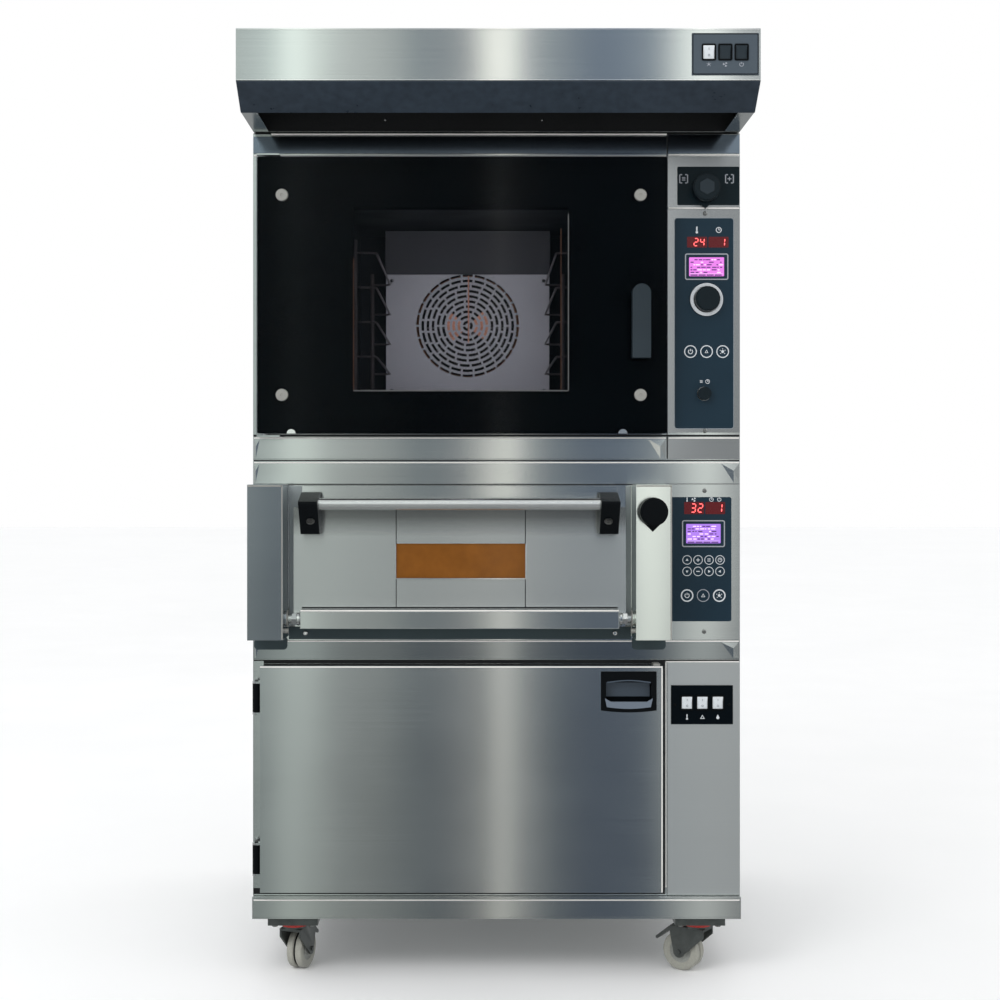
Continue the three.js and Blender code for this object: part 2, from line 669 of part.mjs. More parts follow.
// Two posts and the runners that trays slide on.
function trayRack(name, side) {
  const rack = { post: 231, lip: 185, levels: 5, pitch: 72, low: 12, high: 329 };
  const z0 = OVEN.mouth[1][0];
  const x = (at) => OVEN.x + side * at;
  const span = (a, b) => [x(a), x(b)].sort((p, q) => p - q);
  let made = block(span(rack.post - 5, rack.post + 5), [36, 46], [z0 + 1, z0 + rack.high]);
  made = made.add(block(span(rack.post - 5, rack.post + 5), [576, 586], [z0 + 1, z0 + rack.high]));
  for (let i = 0; i < rack.levels; i++) {
    const level = z0 + rack.low + i * rack.pitch;
    made = made.add(block(span(rack.lip, rack.post + 2), [40, 584], [level, level + 2]));
    made = made.add(block(span(rack.post, rack.post + 2), [40, 584], [level, level + 16]));
  }
  return mesh(name, made, ZINC);
}

// A tray of folded sheet behind the glass. Four studs run through the glass and end in round heads.
function convectionDoorFrame() {
  const { door, hinge, studs, window, lever } = OVEN;
  const [x, z] = [[door.x[0] + 9.5, door.x[1] - 8.5], grown(door.z, -9)];
  let made = block(x, door.frame, z)
    .subtract(block(grown(x, -SHEET), [door.frame[0] - 1, door.frame[1] - SHEET], grown(z, -SHEET)))
    .subtract(block(window[0], [door.frame[1] - 3, door.frame[1] + 1], window[1]))
    .subtract(bar("z", hinge.pin + GAP, grown(z, 1), [hinge.x, hinge.y], 16));
  for (const sx of studs.x) {
    for (const sz of studs.z) {
      made = made.add(bar("y", 5, [door.glass[0] - 2, door.frame[1] - 1], [sx, sz], 8));
      made = made.add(bar("y", 12, [door.glass[0] - 4.5, door.glass[0] - GAP], [sx, sz], 16));
    }
  }
  made = made.subtract(bar("y", 9, [door.frame[1] - 3, door.frame[1] + 1], [lever.x, lever.z], 16));
  return mesh("convection_door_frame", made, STEEL);
}

function convectionDoorGlass() {
  const { door, studs, lever } = OVEN;
  let made = block(door.x, door.glass, door.z);
  for (const sx of studs.x) {
    for (const sz of studs.z) made = made.subtract(bar("y", 6, grown(door.glass, 1), [sx, sz], 8));
  }
  made = made.subtract(bar("y", 8, grown(door.glass, 1), [lever.x, lever.z], 16));
  return mesh("convection_door_glass", made, BLACK_GLASS);
}

function convectionInnerGlass() {
  const { door, window } = OVEN;
  const y = [door.frame[1] - SHEET - GAP - 4, door.frame[1] - SHEET - GAP];
  return mesh("convection_inner_glass", block(grown(window[0], 12), y, grown(window[1], 12)), CLEAR_GLASS);
}

// A latch lever that hangs from its hub; the shaft runs through the glass into the door.
function convectionDoorHandle() {
  const { lever, door } = OVEN;
  const outline = new THREE.Shape();
  outline.moveTo(lever.x - lever.radius, lever.foot);
  outline.lineTo(lever.x + lever.radius, lever.foot);
  outline.absarc(lever.x, lever.z, lever.radius, 0, Math.PI, false);
  const glass = door.glass[0];
  return mesh(
    "convection_door_handle",
    joined(
      extrude(outline, "y", [glass - 40, glass - 16], 16),
      bar("y", 16, [glass - 17, glass - 1], [lever.x, lever.z]),
      bar("y", 7, [glass - 2, door.frame[1] - 4], [lever.x, lever.z], 16),
    ),
    BLACK_PLASTIC,
  );
}

// The main panel carries a bright ring round the dial.
function convectionControlPanel() {
  const { dial, reset, panels } = OVEN;
  const face = [PANEL_FRONT - 1, PANEL_FRONT + 3];
  const ring = bar("y", 33, [PANEL_FRONT - 3, PANEL_FRONT + 0.5], [dial.x, dial.z]).subtract(
    bar("y", 27, [PANEL_FRONT - 4, PANEL_FRONT], [dial.x, dial.z]),
  );
  return mesh(
    "convection_control_panel",
    columnPanel(panels.main)
      .add(ring)
      .subtract(bar("y", 5, face, [dial.x, dial.z], 16))
      .subtract(bar("y", 7.5, face, [reset.x, reset.z], 16)),
    STEEL,
  );
}

function convectionVentPanel() {
  const { vent, panels } = OVEN;
  const hole = bar("y", 5, [PANEL_FRONT - 1, PANEL_FRONT + 3], [vent.x, vent.z], 16);
  return mesh("convection_vent_panel", columnPanel(panels.vent).subtract(hole), STEEL);
}

function programKnob() {
  const { x, z } = OVEN.dial;
  const front = PANEL_FRONT - 25;
  return mesh(
    "program_knob",
    joined(
      bar("y", 25.5, [front + 3, PANEL_FRONT - 1], [x, z]),
      bar("y", 23, [front, front + 4], [x, z]),
      bar("y", 4, [PANEL_FRONT - 2, PANEL_FRONT + 14], [x, z], 10),
    ),
    BLACK_PLASTIC,
  );
}

function resetButton() {
  const { x, z } = OVEN.reset;
  return mesh(
    "reset_button",
    joined(
      bar("y", 13.5, [PANEL_FRONT - 14, PANEL_FRONT - 4], [x, z]),
      bar("y", 6.5, [PANEL_FRONT - 5, PANEL_FRONT + 10], [x, z], 16),
    ),
    BLACK_PLASTIC,
  );
}

function convectionOven() {
  return [
    convectionCasing(),
    convectionChamber(),
    fanBaffle(),
    fanImpeller(),
    fanMotor(),
    ringHeater(),
    trayRack("tray_rack_left", -1),
    trayRack("tray_rack_right", 1),
    convectionDoorFrame(),
    convectionDoorGlass(),
    convectionInnerGlass(),
    convectionDoorHandle(),
    convectionControlPanel(),
    convectionVentPanel(),
    pointerKnob("vent_knob", OVEN.vent.x, OVEN.vent.z, PANEL_FRONT, 30),
    programKnob(),
    resetButton(),
  ];
}

// ---------------------------------------------------------------- hood
const HOOD = {
  half: 498,
  reach: -245, // face of the fascia
  foot: -185, // lower front edge, where the visor ends
  fascia: HOOD_TOP - 99.5, // lower edge of the fascia
  intake: [[-466, 466], [-180, -10]],
  collar: { x: 0, y: 640, radius: 75, tall: 40 },
  switches: {
    x: [399, 430, 461],
    z: HOOD_TOP - 45.5,
    plate: [367, 494],
    tall: [HOOD_TOP - 89.5, HOOD_TOP - 10],
  },
};

// A shell whose lower front corner is cut off, with an intake in its underside and a duct collar on top.
function hoodShell() {
  const { half, reach, foot, fascia, intake, collar, switches } = HOOD;
  const floor = OVEN_TOP + GAP;
  const side = (by) => [
    [reach + by, fascia + by / 2],
    [foot + by / 2, floor + by],
    [DEPTH - by, floor + by],
    [DEPTH - by, HOOD_TOP - by],
    [reach + by, HOOD_TOP - by],
  ];
  const top = [HOOD_TOP - 3, HOOD_TOP + collar.tall];
  const [x, z] = switchWindow(switches);
  let made = extrude(polygon(side(0)), "x", [-half, half])
    .subtract(extrude(polygon(side(SHEET)), "x", [SHEET - half, half - SHEET]))
    .subtract(block(intake[0], intake[1], [floor - 1, floor + 3]))
    .subtract(block([-485, 485], [reach + 12, foot - 8], [floor + 6, fascia - 5]))
    .subtract(block(x, [reach - 1, reach + 3], z));
  for (const ledge of both(-466, 31)) made = made.add(block(ledge, [-230, -14], [fascia + 9, fascia + 11]));
  return mesh(
    "hood_shell",
    made
      .add(bar("z", collar.radius, [top[0] + 2, top[1]], [collar.x, collar.y], 32))
      .subtract(bar("z", collar.radius - SHEET, grown(top, 2), [collar.x, collar.y], 32)),
    STEEL,
  );
}

// A dark plate over the sloping front, between the fascia and the intake.
function hoodVisor() {
  const { reach, foot, fascia, half } = HOOD;
  const floor = OVEN_TOP + GAP;
  const slope = new THREE.Vector2(foot - reach, floor - fascia).normalize();
  const out = (by) => [slope.y * by, -slope.x * by];
  const corner = (y, z, by) => [y + out(by)[0], z + out(by)[1]];
  const made = polygon([
    corner(reach, fascia, GAP),
    corner(foot, floor, GAP),
    corner(foot, floor, 3.5),
    corner(reach, fascia, 3.5),
  ]);
  return mesh("hood_visor", extrude(made, "x", [1 - half, half - 1]), SMOKED);
}

function hoodFilter() {
  const z = [HOOD.fascia + 11.5, HOOD.fascia + 23.5];
  let made = block([-488, 488], [-228, -16], z);
  const [slots, pitch] = [12, 78];
  for (let i = 0; i < slots; i++) {
    const x = (i - (slots - 1) / 2) * pitch;
    made = made.subtract(block(grown([x, x], 22), [-214, -30], grown(z, 1)));
  }
  return mesh("hood_filter", made, ZINC);
}

function hood() {
  const { switches, reach } = HOOD;
  const front = reach - 2;
  return [
    hoodShell(),
    hoodVisor(),
    hoodFilter(),
    switchPlate("hood_switch_plate", switches.plate, switches.tall, front - GAP, switches.x, switches.z),
    ...switches.x.map((x, i) =>
      rocker(`hood_switch_${i + 1}`, x, switches.z, front - GAP, i === 0 ? WHITE_ROCKER : BLACK_PLASTIC),
    ),
  ];
}

// ---------------------------------------------------------------- the tower
const tower = new THREE.Group();
tower.position.y = FRONT_Y;
tower.add(baseFrame(), ...CASTORS.map(castor), ...proofer(), ...deckOven(), ...convectionOven(), ...hood());

export default tower;
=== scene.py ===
"""Looks of the bakery oven tower: materials, fittings, prints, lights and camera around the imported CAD.

Helper coordinates are millimetres (x, d, z): x to the right, d behind the cabinets' front plane, z up.
"""
import math
import random

import bmesh
import bpy
from mathutils import Matrix, Vector
from mathutils.geometry import tessellate_polygon


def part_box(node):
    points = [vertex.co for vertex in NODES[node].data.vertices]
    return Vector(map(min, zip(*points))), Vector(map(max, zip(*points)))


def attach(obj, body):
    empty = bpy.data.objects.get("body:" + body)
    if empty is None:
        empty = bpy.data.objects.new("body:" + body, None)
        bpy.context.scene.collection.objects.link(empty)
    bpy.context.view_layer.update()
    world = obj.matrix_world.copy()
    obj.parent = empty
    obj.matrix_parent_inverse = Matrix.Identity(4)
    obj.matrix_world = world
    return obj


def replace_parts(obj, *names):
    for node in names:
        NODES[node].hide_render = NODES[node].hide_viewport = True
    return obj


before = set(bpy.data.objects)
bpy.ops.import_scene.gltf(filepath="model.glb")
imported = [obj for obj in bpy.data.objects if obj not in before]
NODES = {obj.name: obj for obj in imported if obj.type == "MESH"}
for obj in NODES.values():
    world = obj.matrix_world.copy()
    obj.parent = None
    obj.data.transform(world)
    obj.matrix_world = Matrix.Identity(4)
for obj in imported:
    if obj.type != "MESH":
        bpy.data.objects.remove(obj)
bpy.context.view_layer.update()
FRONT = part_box("proofer_casing")[0].y * 1000  # front plane of the cabinets
MM = 0.001
REAR = 900  # back plane of the cabinets
HAIR = 0.02  # gap that keeps two faces from lying in one plane
HOOD_TOP = 1877
DECK_HINGE = (-50, 740)  # d and z of the deck door's pins
DIAL = (430.6, 1390)  # x and z of the programme dial
RESET = (426, 1197)  # x and z of the reset button

# ------------------------------------------------------------------ node helpers

MIX_A, MIX_B, MIXED = 6, 7, 2  # a colour mix's two inputs and its output, which share names with others


class Graph:
    """A node tree under construction."""

    def __init__(self, owner, clear=True):
        owner.use_nodes = True
        self.nodes, self.links = owner.node_tree.nodes, owner.node_tree.links
        if clear:
            self.nodes.clear()

    def add(self, kind, inputs=None, **settings):
        """A shader node with settings on it; each input is a value or the socket that feeds it."""
        node = self.nodes.new("ShaderNode" + kind)
        for key, value in settings.items():
            setattr(node, key, value)
        for key, value in (inputs or {}).items():
            if isinstance(value, bpy.types.NodeSocket):
                self.links.new(value, node.inputs[key])
            else:
                node.inputs[key].default_value = value
        return node

    def find(self, kind):
        """The first node of a type."""
        return next(node for node in self.nodes if node.type == kind)

    def noise(self, stretch, detail=3.0, offset=(0, 0, 0)):
        """Noise over the object's own coordinates, scaled by three numbers per metre."""
        place = self.add("TexCoord").outputs["Object"]
        moved = self.add("Mapping", {"Scale": stretch, "Location": offset, "Vector": place})
        made = self.add("TexNoise", {"Scale": 1.0, "Detail": detail, "Vector": moved.outputs["Vector"]})
        return made.outputs["Fac"]

    def spread(self, source, low, high, start=0.3, end=0.7):
        """The source's range from start to end, as a number from low to high."""
        made = self.add("MapRange", {"Value": source, "From Min": start, "From Max": end, "To Min": low,
                                     "To Max": high})
        return made.outputs["Result"]

    def math(self, operation, *values):
        """The result of a calculation with numbers."""
        return self.add("Math", dict(enumerate(values)), operation=operation).outputs[0]

    def vector(self, operation, *values):
        """The result of a calculation with vectors."""
        return self.add("VectorMath", dict(enumerate(values)), operation=operation).outputs[0]


def shade(colour, factor):
    """An RGBA colour made lighter or darker."""
    return tuple(min(1.0, c * factor) for c in colour[:3]) + (1.0,)


def per_axis(value):
    """A number for each axis, from one number or three."""
    return value if isinstance(value, tuple) else (value,) * 3


def surface(slot, name, colour, rough, grain=900, mottle=7, tone=0.1, bump=0.1, depth=0.0003, spots=0.35,
            **sockets):
    """A Principled material with colour and roughness that vary, and a fine relief."""
    made = bpy.data.materials.new(name)
    graph = Graph(made)
    fine = graph.noise(per_axis(grain))
    coarse = graph.noise(per_axis(mottle), 4.0, (3.1, 1.7, 5.3))
    both = graph.add("Mix", {"Factor": 0.5, "A": fine, "B": coarse}, data_type="FLOAT").outputs["Result"]
    share = graph.spread(both, 0.0, 1.0, 0.35, 0.65)
    mix = graph.add("Mix", {0: share, MIX_A: shade(colour, 1 - tone), MIX_B: shade(colour, 1 + tone)},
                    data_type="RGBA")
    relief = graph.add("Bump", {"Strength": bump, "Distance": depth, "Height": fine})
    bsdf = graph.add("BsdfPrincipled", {
        "Base Color": mix.outputs[MIXED],
        "Roughness": graph.spread(both, rough * (1 - spots), min(1.0, rough * (1 + spots))),
        "Normal": relief.outputs["Normal"]})
    for socket, value in sockets.items():
        bsdf.inputs[socket.replace("_", " ")].default_value = value
    graph.add("OutputMaterial", {"Surface": bsdf.outputs["BSDF"]})
    return made


def brushed(name, colour, rough, lift=0.02, stretch=0.95, tone=0.06, lean=0.0, waves=0.12, spots=0.12,
            slot="satin_steel"):
    """Stainless steel brushed along x and y, whose highlights run up and down.

    The sheet leans by some degrees about the vertical and is slightly wavy, as folded sheet is.
    """
    made = surface(slot, name, colour, rough, grain=(2.5, 2.5, 1500), mottle=(3, 3, 5), tone=tone, bump=lift,
                   depth=0.0001, spots=spots, Metallic=1.0, Anisotropic=stretch)
    graph = Graph(made, clear=False)
    upward = graph.add("CombineXYZ", {"X": 0.04, "Y": 0.03, "Z": 1.0}).outputs["Vector"]
    graph.links.new(upward, graph.find("BSDF_PRINCIPLED").inputs["Tangent"])
    grain = graph.find("BUMP")
    wave = graph.add("Bump", {"Strength": waves, "Distance": 0.004,
                              "Height": graph.noise((4.5, 4.5, 1.6), 1.0, (0.4, 2.2, 1.1))})
    if lean:
        normal = graph.add("NewGeometry").outputs["Normal"]
        leaning = graph.vector("NORMALIZE", graph.vector("ADD", normal, (math.radians(lean), 0, 0)))
        graph.links.new(leaning, wave.inputs["Normal"])
    graph.links.new(wave.outputs["Normal"], grain.inputs["Normal"])
    return made


def paint_shade_by_height(made, low, high, share):
    """Paints shade into a material's colour: darker from one height to another, in metres, as steel in the
    shade of what stands above it.
    """
    graph = Graph(made, clear=False)
    base = graph.find("BSDF_PRINCIPLED").inputs["Base Color"]
    parts = graph.add("SeparateXYZ", {0: graph.add("TexCoord").outputs["Object"]})
    shadow = graph.spread(parts.outputs["Z"], 1.0, share, low, high)
    darker = graph.add("VectorMath", {0: base.links[0].from_socket, "Scale": shadow}, operation="SCALE")
    graph.links.new(darker.outputs[0], base)
    return made


def pane(name, colour, rough, see_through, tint, gloss):
    """Glass as a mix of a clear pane and a glossy one."""
    made = surface(name, name, colour, rough, grain=40, mottle=5, tone=0.15, bump=0.02,
                   Specular_IOR_Level=gloss)
    graph = Graph(made, clear=False)
    clear = graph.add("BsdfTransparent", {"Color": tint}).outputs["BSDF"]
    glossy = graph.find("BSDF_PRINCIPLED").outputs["BSDF"]
    mix = graph.add("MixShader", {"Fac": 1 - see_through, 1: clear, 2: glossy})
    graph.links.new(mix.outputs["Shader"], graph.find("OUTPUT_MATERIAL").inputs["Surface"])
    return made


def lit(name, colour, strength, base=(0.02, 0.02, 0.02), slot="smoked_panel"):
    """A lit display or lamp: a glossy face that also gives light."""
    return surface(slot, name, base, 0.3, bump=0.02, Emission_Color=(*colour, 1), Emission_Strength=strength)


def plastic(slot, name, colour, rough, gloss, **more):
    """A plastic or painted face with its own share of mirrored light."""
    return surface(slot, name, colour, rough, Specular_IOR_Level=gloss, **more)


# ------------------------------------------------------------------ materials
STEEL = brushed("satin_steel", (0.60, 0.62, 0.61), 0.14)
DOOR_STEEL = brushed("door_steel", (0.57, 0.59, 0.59), 0.14)
DECK_PIVOT = NODES["deck_door"].matrix_world.translation.z  # the door's own heights start here
# painted shade: the deck door's steel grows darker between the heights 0.905 and 0.945 m, as in the shade
# under the handle tube
DECK_STEEL = paint_shade_by_height(brushed("deck_door_steel", (0.67, 0.685, 0.675), 0.25, lift=0.006, stretch=0.85,
                           tone=0.03, waves=0.06, spots=0.03),
                   0.905 - DECK_PIVOT, 0.945 - DECK_PIVOT, 0.40)
# painted shade: a darker copy of the strips' steel for the deck's lower strip, which lies in shade
SHADED_LOWER_STRIP = brushed("shaded_lower_strip_steel", (0.36, 0.38, 0.385), 0.13)
COLUMN_STEEL = brushed("column_steel", (0.55, 0.56, 0.56), 0.20, lean=1.6)
PROOFER_COLUMN = brushed("proofer_column_steel", (0.74, 0.755, 0.75), 0.28, lift=0.003, stretch=0.9,
                         tone=0.02, spots=0.02)
# painted light and shade: both pillars are the same steel, the left one in a darker, bluer copy and the
# right one in a lighter copy
SHADED_LEFT_PILLAR = brushed("shaded_left_pillar_steel", (0.49, 0.53, 0.55), 0.14, lean=2.8)
LIT_RIGHT_PILLAR = brushed("lit_right_pillar_steel", (0.84, 0.87, 0.82), 0.14, lean=1.0)
SHADE_STEEL = brushed("shaded_steel", (0.20, 0.24, 0.29), 0.16, stretch=0.2)
TRIM_STEEL = brushed("trim_steel", (0.72, 0.73, 0.71), 0.20, stretch=0.4)
CHROME = surface("satin_steel", "chrome", (0.80, 0.80, 0.79), 0.10, tone=0.03, bump=0.02, Metallic=1.0)
TUBE_STEEL = surface("satin_steel", "tube_steel", (0.90, 0.90, 0.89), 0.24, grain=(3, 60, 60), tone=0.02,
                     bump=0.0, spots=0.1, Metallic=1.0)
STUD_STEEL = surface("satin_steel", "stud_steel", (0.46, 0.45, 0.42), 0.42, tone=0.06, bump=0.03,
                     Metallic=0.7)
# painted highlight: a light, mostly matte face for thin lips, beads and edges, standing for the bright lines
# where sheet edges catch the light
EDGE_HIGHLIGHT = surface("satin_steel", "painted_edge_highlight", (0.85, 0.83, 0.80), 0.4, tone=0.04, bump=0.05,
                      Metallic=0.2)
INNER = brushed("inner_steel", (0.50, 0.50, 0.50), 0.34, stretch=0.4, slot="inner_steel")
GREY_LINER = surface("inner_steel", "liner_steel", (0.46, 0.46, 0.49), 0.45, Metallic=0.35)
DARK_LINER = surface("inner_steel", "dark_liner_steel", (0.060, 0.062, 0.068), 0.55, tone=0.2, Metallic=0.3)
BLACK_LINER = surface("inner_steel", "black_liner_steel", (0.010, 0.012, 0.014), 0.55, tone=0.2,
                      Metallic=0.2)
RACK_STEEL = surface("inner_steel", "rack_steel", (0.15, 0.13, 0.13), 0.35, tone=0.2, bump=0.05,
                     Metallic=0.8)
ZINC = surface("zinc_plate", "zinc_plate", (0.34, 0.34, 0.33), 0.32, mottle=45, tone=0.2, Metallic=1.0)
FORK_STEEL = surface("zinc_plate", "castor_fork_steel", (0.115, 0.125, 0.120), 0.38, mottle=45, tone=0.25,
                     bump=0.12, Metallic=0.8)
RED = surface("zinc_plate", "red_band", (0.42, 0.02, 0.015), 0.4, mottle=60, tone=0.2)
HUB = surface("zinc_plate", "castor_hub", (0.27, 0.28, 0.26), 0.45, grain=400, mottle=40, tone=0.15,
              bump=0.15)
BLACK = plastic("black_plastic", "black_plastic", (0.002, 0.003, 0.004), 0.34, 0.10, grain=1500, tone=0.2,
                bump=0.15)
GLOSS_BLACK = plastic("black_plastic", "gloss_black_plastic", (0.001, 0.003, 0.005), 0.20, 0.08, tone=0.2,
                      bump=0.05)
KNOB_BLACK = plastic("black_plastic", "knob_black", (0.004, 0.010, 0.014), 0.30, 0.22, tone=0.2)
HANDLE_GREY = plastic("black_plastic", "handle_grey", (0.020, 0.030, 0.038), 0.38, 0.25, grain=1500,
                      tone=0.15, bump=0.15)
CUP = plastic("black_plastic", "handle_cup", (0.055, 0.075, 0.100), 0.34, 0.3, tone=0.12, bump=0.05)
# painted light: a lighter copy of the handle's plastic for the lit, sloping lip in its cup
LIT_PADDLE = plastic("black_plastic", "handle_paddle", (0.13, 0.16, 0.20), 0.34, 0.3, bump=0.05)
DARK = surface("black_plastic", "dark_gap", (0.006, 0.007, 0.008), 0.75, tone=0.3)
RUBBER = surface("black_plastic", "door_gasket", (0.010, 0.010, 0.011), 0.6, grain=400, tone=0.2, bump=0.3)
BRACKET = plastic("bracket_black", "bracket_black", (0.002, 0.003, 0.004), 0.22, 0.14, grain=700, tone=0.25)
# painted shade: dark copies of the casing steel for where it lies in shade: the jambs beside the deck door,
# the sill under it and the shadows under the pillars
JAMB = plastic("smoked_panel", "dark_jamb_painted_shade", (0.050, 0.070, 0.076), 0.40, 0.2, tone=0.15, bump=0.05,
               Metallic=0.4)
LIGHT_JAMB = plastic("smoked_panel", "pale_jamb_painted_shade", (0.40, 0.44, 0.45), 0.40, 0.3, tone=0.12, bump=0.05,
                     Metallic=0.5)
VISOR = plastic("smoked_panel", "visor_panel", (0.020, 0.030, 0.043), 0.34, 0.3, grain=60, mottle=(4, 4, 9),
                tone=0.25, bump=0.04)
LABEL = plastic("smoked_panel", "label_film", (0.007, 0.024, 0.040), 0.36, 0.25, grain=1200, tone=0.12,
                bump=0.12)
VENT_LABEL = plastic("smoked_panel", "vent_label_film", (0.004, 0.011, 0.015), 0.36, 0.15, grain=1200,
                     tone=0.15, bump=0.12)
SWITCH_PLATE = plastic("smoked_panel", "switch_plate", (0.062, 0.082, 0.102), 0.42, 0.3, tone=0.08,
                       bump=0.12)
WHITE_INK = surface("smoked_panel", "white_ink", (0.58, 0.61, 0.64), 0.5, grain=1500, tone=0.06, bump=0.05)
GREY_INK = surface("smoked_panel", "grey_ink", (0.22, 0.25, 0.28), 0.5, grain=1500, tone=0.08, bump=0.05)
LCD_RIM = surface("smoked_panel", "lcd_rim", (0.30, 0.32, 0.36), 0.4, tone=0.08, bump=0.05)
LCD_DARK = surface("smoked_panel", "lcd_dark", (0.10, 0.03, 0.20), 0.4, bump=0.02)
LED_RED = lit("led_red", (1.0, 0.12, 0.12), 2.6)
LED_WINDOW = lit("led_window", (0.14, 0.0, 0.004), 0.5, (0.03, 0.001, 0.002))
LCD_PINK = lit("lcd_pink", (0.86, 0.22, 0.86), 1.0)
LCD_VIOLET = lit("lcd_violet", (0.46, 0.22, 0.92), 1.0)
LCD_LIGHT = lit("lcd_light", (1.0, 0.72, 1.0), 1.2)
ROCKER_WHITE = lit("lit_rocker", (0.95, 0.98, 1.0), 0.10, (0.58, 0.62, 0.65), "lit_rocker")
LAMP = lit("oven_lamp", (0.90, 0.93, 1.0), 6.0, (0.8, 0.8, 0.8), "lit_rocker")
ENAMEL = plastic("black_glass", "black_enamel", (0.0008, 0.0018, 0.0022), 0.16, 0.05, mottle=6, tone=0.3,
                 bump=0.02)
DOOR_GLASS = pane("black_glass", (0.001, 0.002, 0.003), 0.05, 0.80, (0.98, 0.98, 1.0, 1), 0.16)
CLEAR_GLASS = pane("clear_glass", (0.004, 0.005, 0.006), 0.05, 0.92, (0.99, 0.99, 1.0, 1), 0.12)
AMBER_GLASS = pane("amber_glass", (0.23, 0.085, 0.012), 0.10, 0.22, (0.9, 0.45, 0.12, 1), 0.3)
HEATER = surface("heater_sheath", "heater_sheath", (0.24, 0.12, 0.07), 0.38, grain=250, mottle=25, tone=0.3,
                 bump=0.15, Metallic=0.8)
COPPER = surface("heater_sheath", "copper_glow", (0.62, 0.30, 0.20), 0.35, mottle=60, tone=0.35,
                 Metallic=0.5, Emission_Color=(0.9, 0.32, 0.15, 1), Emission_Strength=0.06)
STONE = surface("baking_stone", "baking_stone", (0.42, 0.36, 0.27), 0.9, grain=260, mottle=16, tone=0.18,
                bump=0.7, depth=0.001)
TYRE = surface("castor_tyre", "castor_tyre", (0.33, 0.33, 0.29), 0.5, grain=260, mottle=30, tone=0.12,
               bump=0.15)
ALUMINIUM = surface("cast_aluminium", "cast_aluminium", (0.42, 0.42, 0.42), 0.42, grain=500, mottle=30,
                    tone=0.15, bump=0.35, Metallic=1.0)
FAN_STEEL = surface("cast_aluminium", "fan_steel", (0.022, 0.020, 0.020), 0.5, tone=0.2, bump=0.2,
                    Metallic=0.3)

# ------------------------------------------------------------------ mesh helpers


def rounded(x0, x1, z0, z1, radius, steps=5):
    """Outline of a rectangle with round corners, as (x, z) points."""
    points = []
    corners = ((x1 - radius, z1 - radius, 0), (x0 + radius, z1 - radius, 90),
               (x0 + radius, z0 + radius, 180), (x1 - radius, z0 + radius, 270))
    for cx, cz, start in corners:
        for i in range(steps + 1):
            turn = math.radians(start + 90 * i / steps)
            points.append((cx + radius * math.cos(turn), cz + radius * math.sin(turn)))
    return points


def circle(cx, cz, radius, steps=36, start=0.0, squash=1.0):
    """Outline of a circle, as (x, z) points."""
    turns = [math.radians(start) + 2 * math.pi * i / steps for i in range(steps)]
    return [(cx + radius * math.cos(t), cz + squash * radius * math.sin(t)) for t in turns]


def arc_band(cx, cz, inner, outer, start, end, steps=14):
    """Outline of a part of a ring, between two angles in degrees."""
    turns = [math.radians(start + (end - start) * i / steps) for i in range(steps + 1)]
    out = [(cx + outer * math.cos(t), cz + outer * math.sin(t)) for t in turns]
    back = [(cx + inner * math.cos(t), cz + inner * math.sin(t)) for t in reversed(turns)]
    return out + back


def stroke(ax, az, bx, bz, width):
    """Outline of a straight line of some width."""
    along = Vector((bx - ax, bz - az)).normalized()
    side = Vector((-along.y, along.x)) * width / 2
    return [(ax + side.x, az + side.y), (ax - side.x, az - side.y), (bx - side.x, bz - side.y),
            (bx + side.x, bz + side.y)]


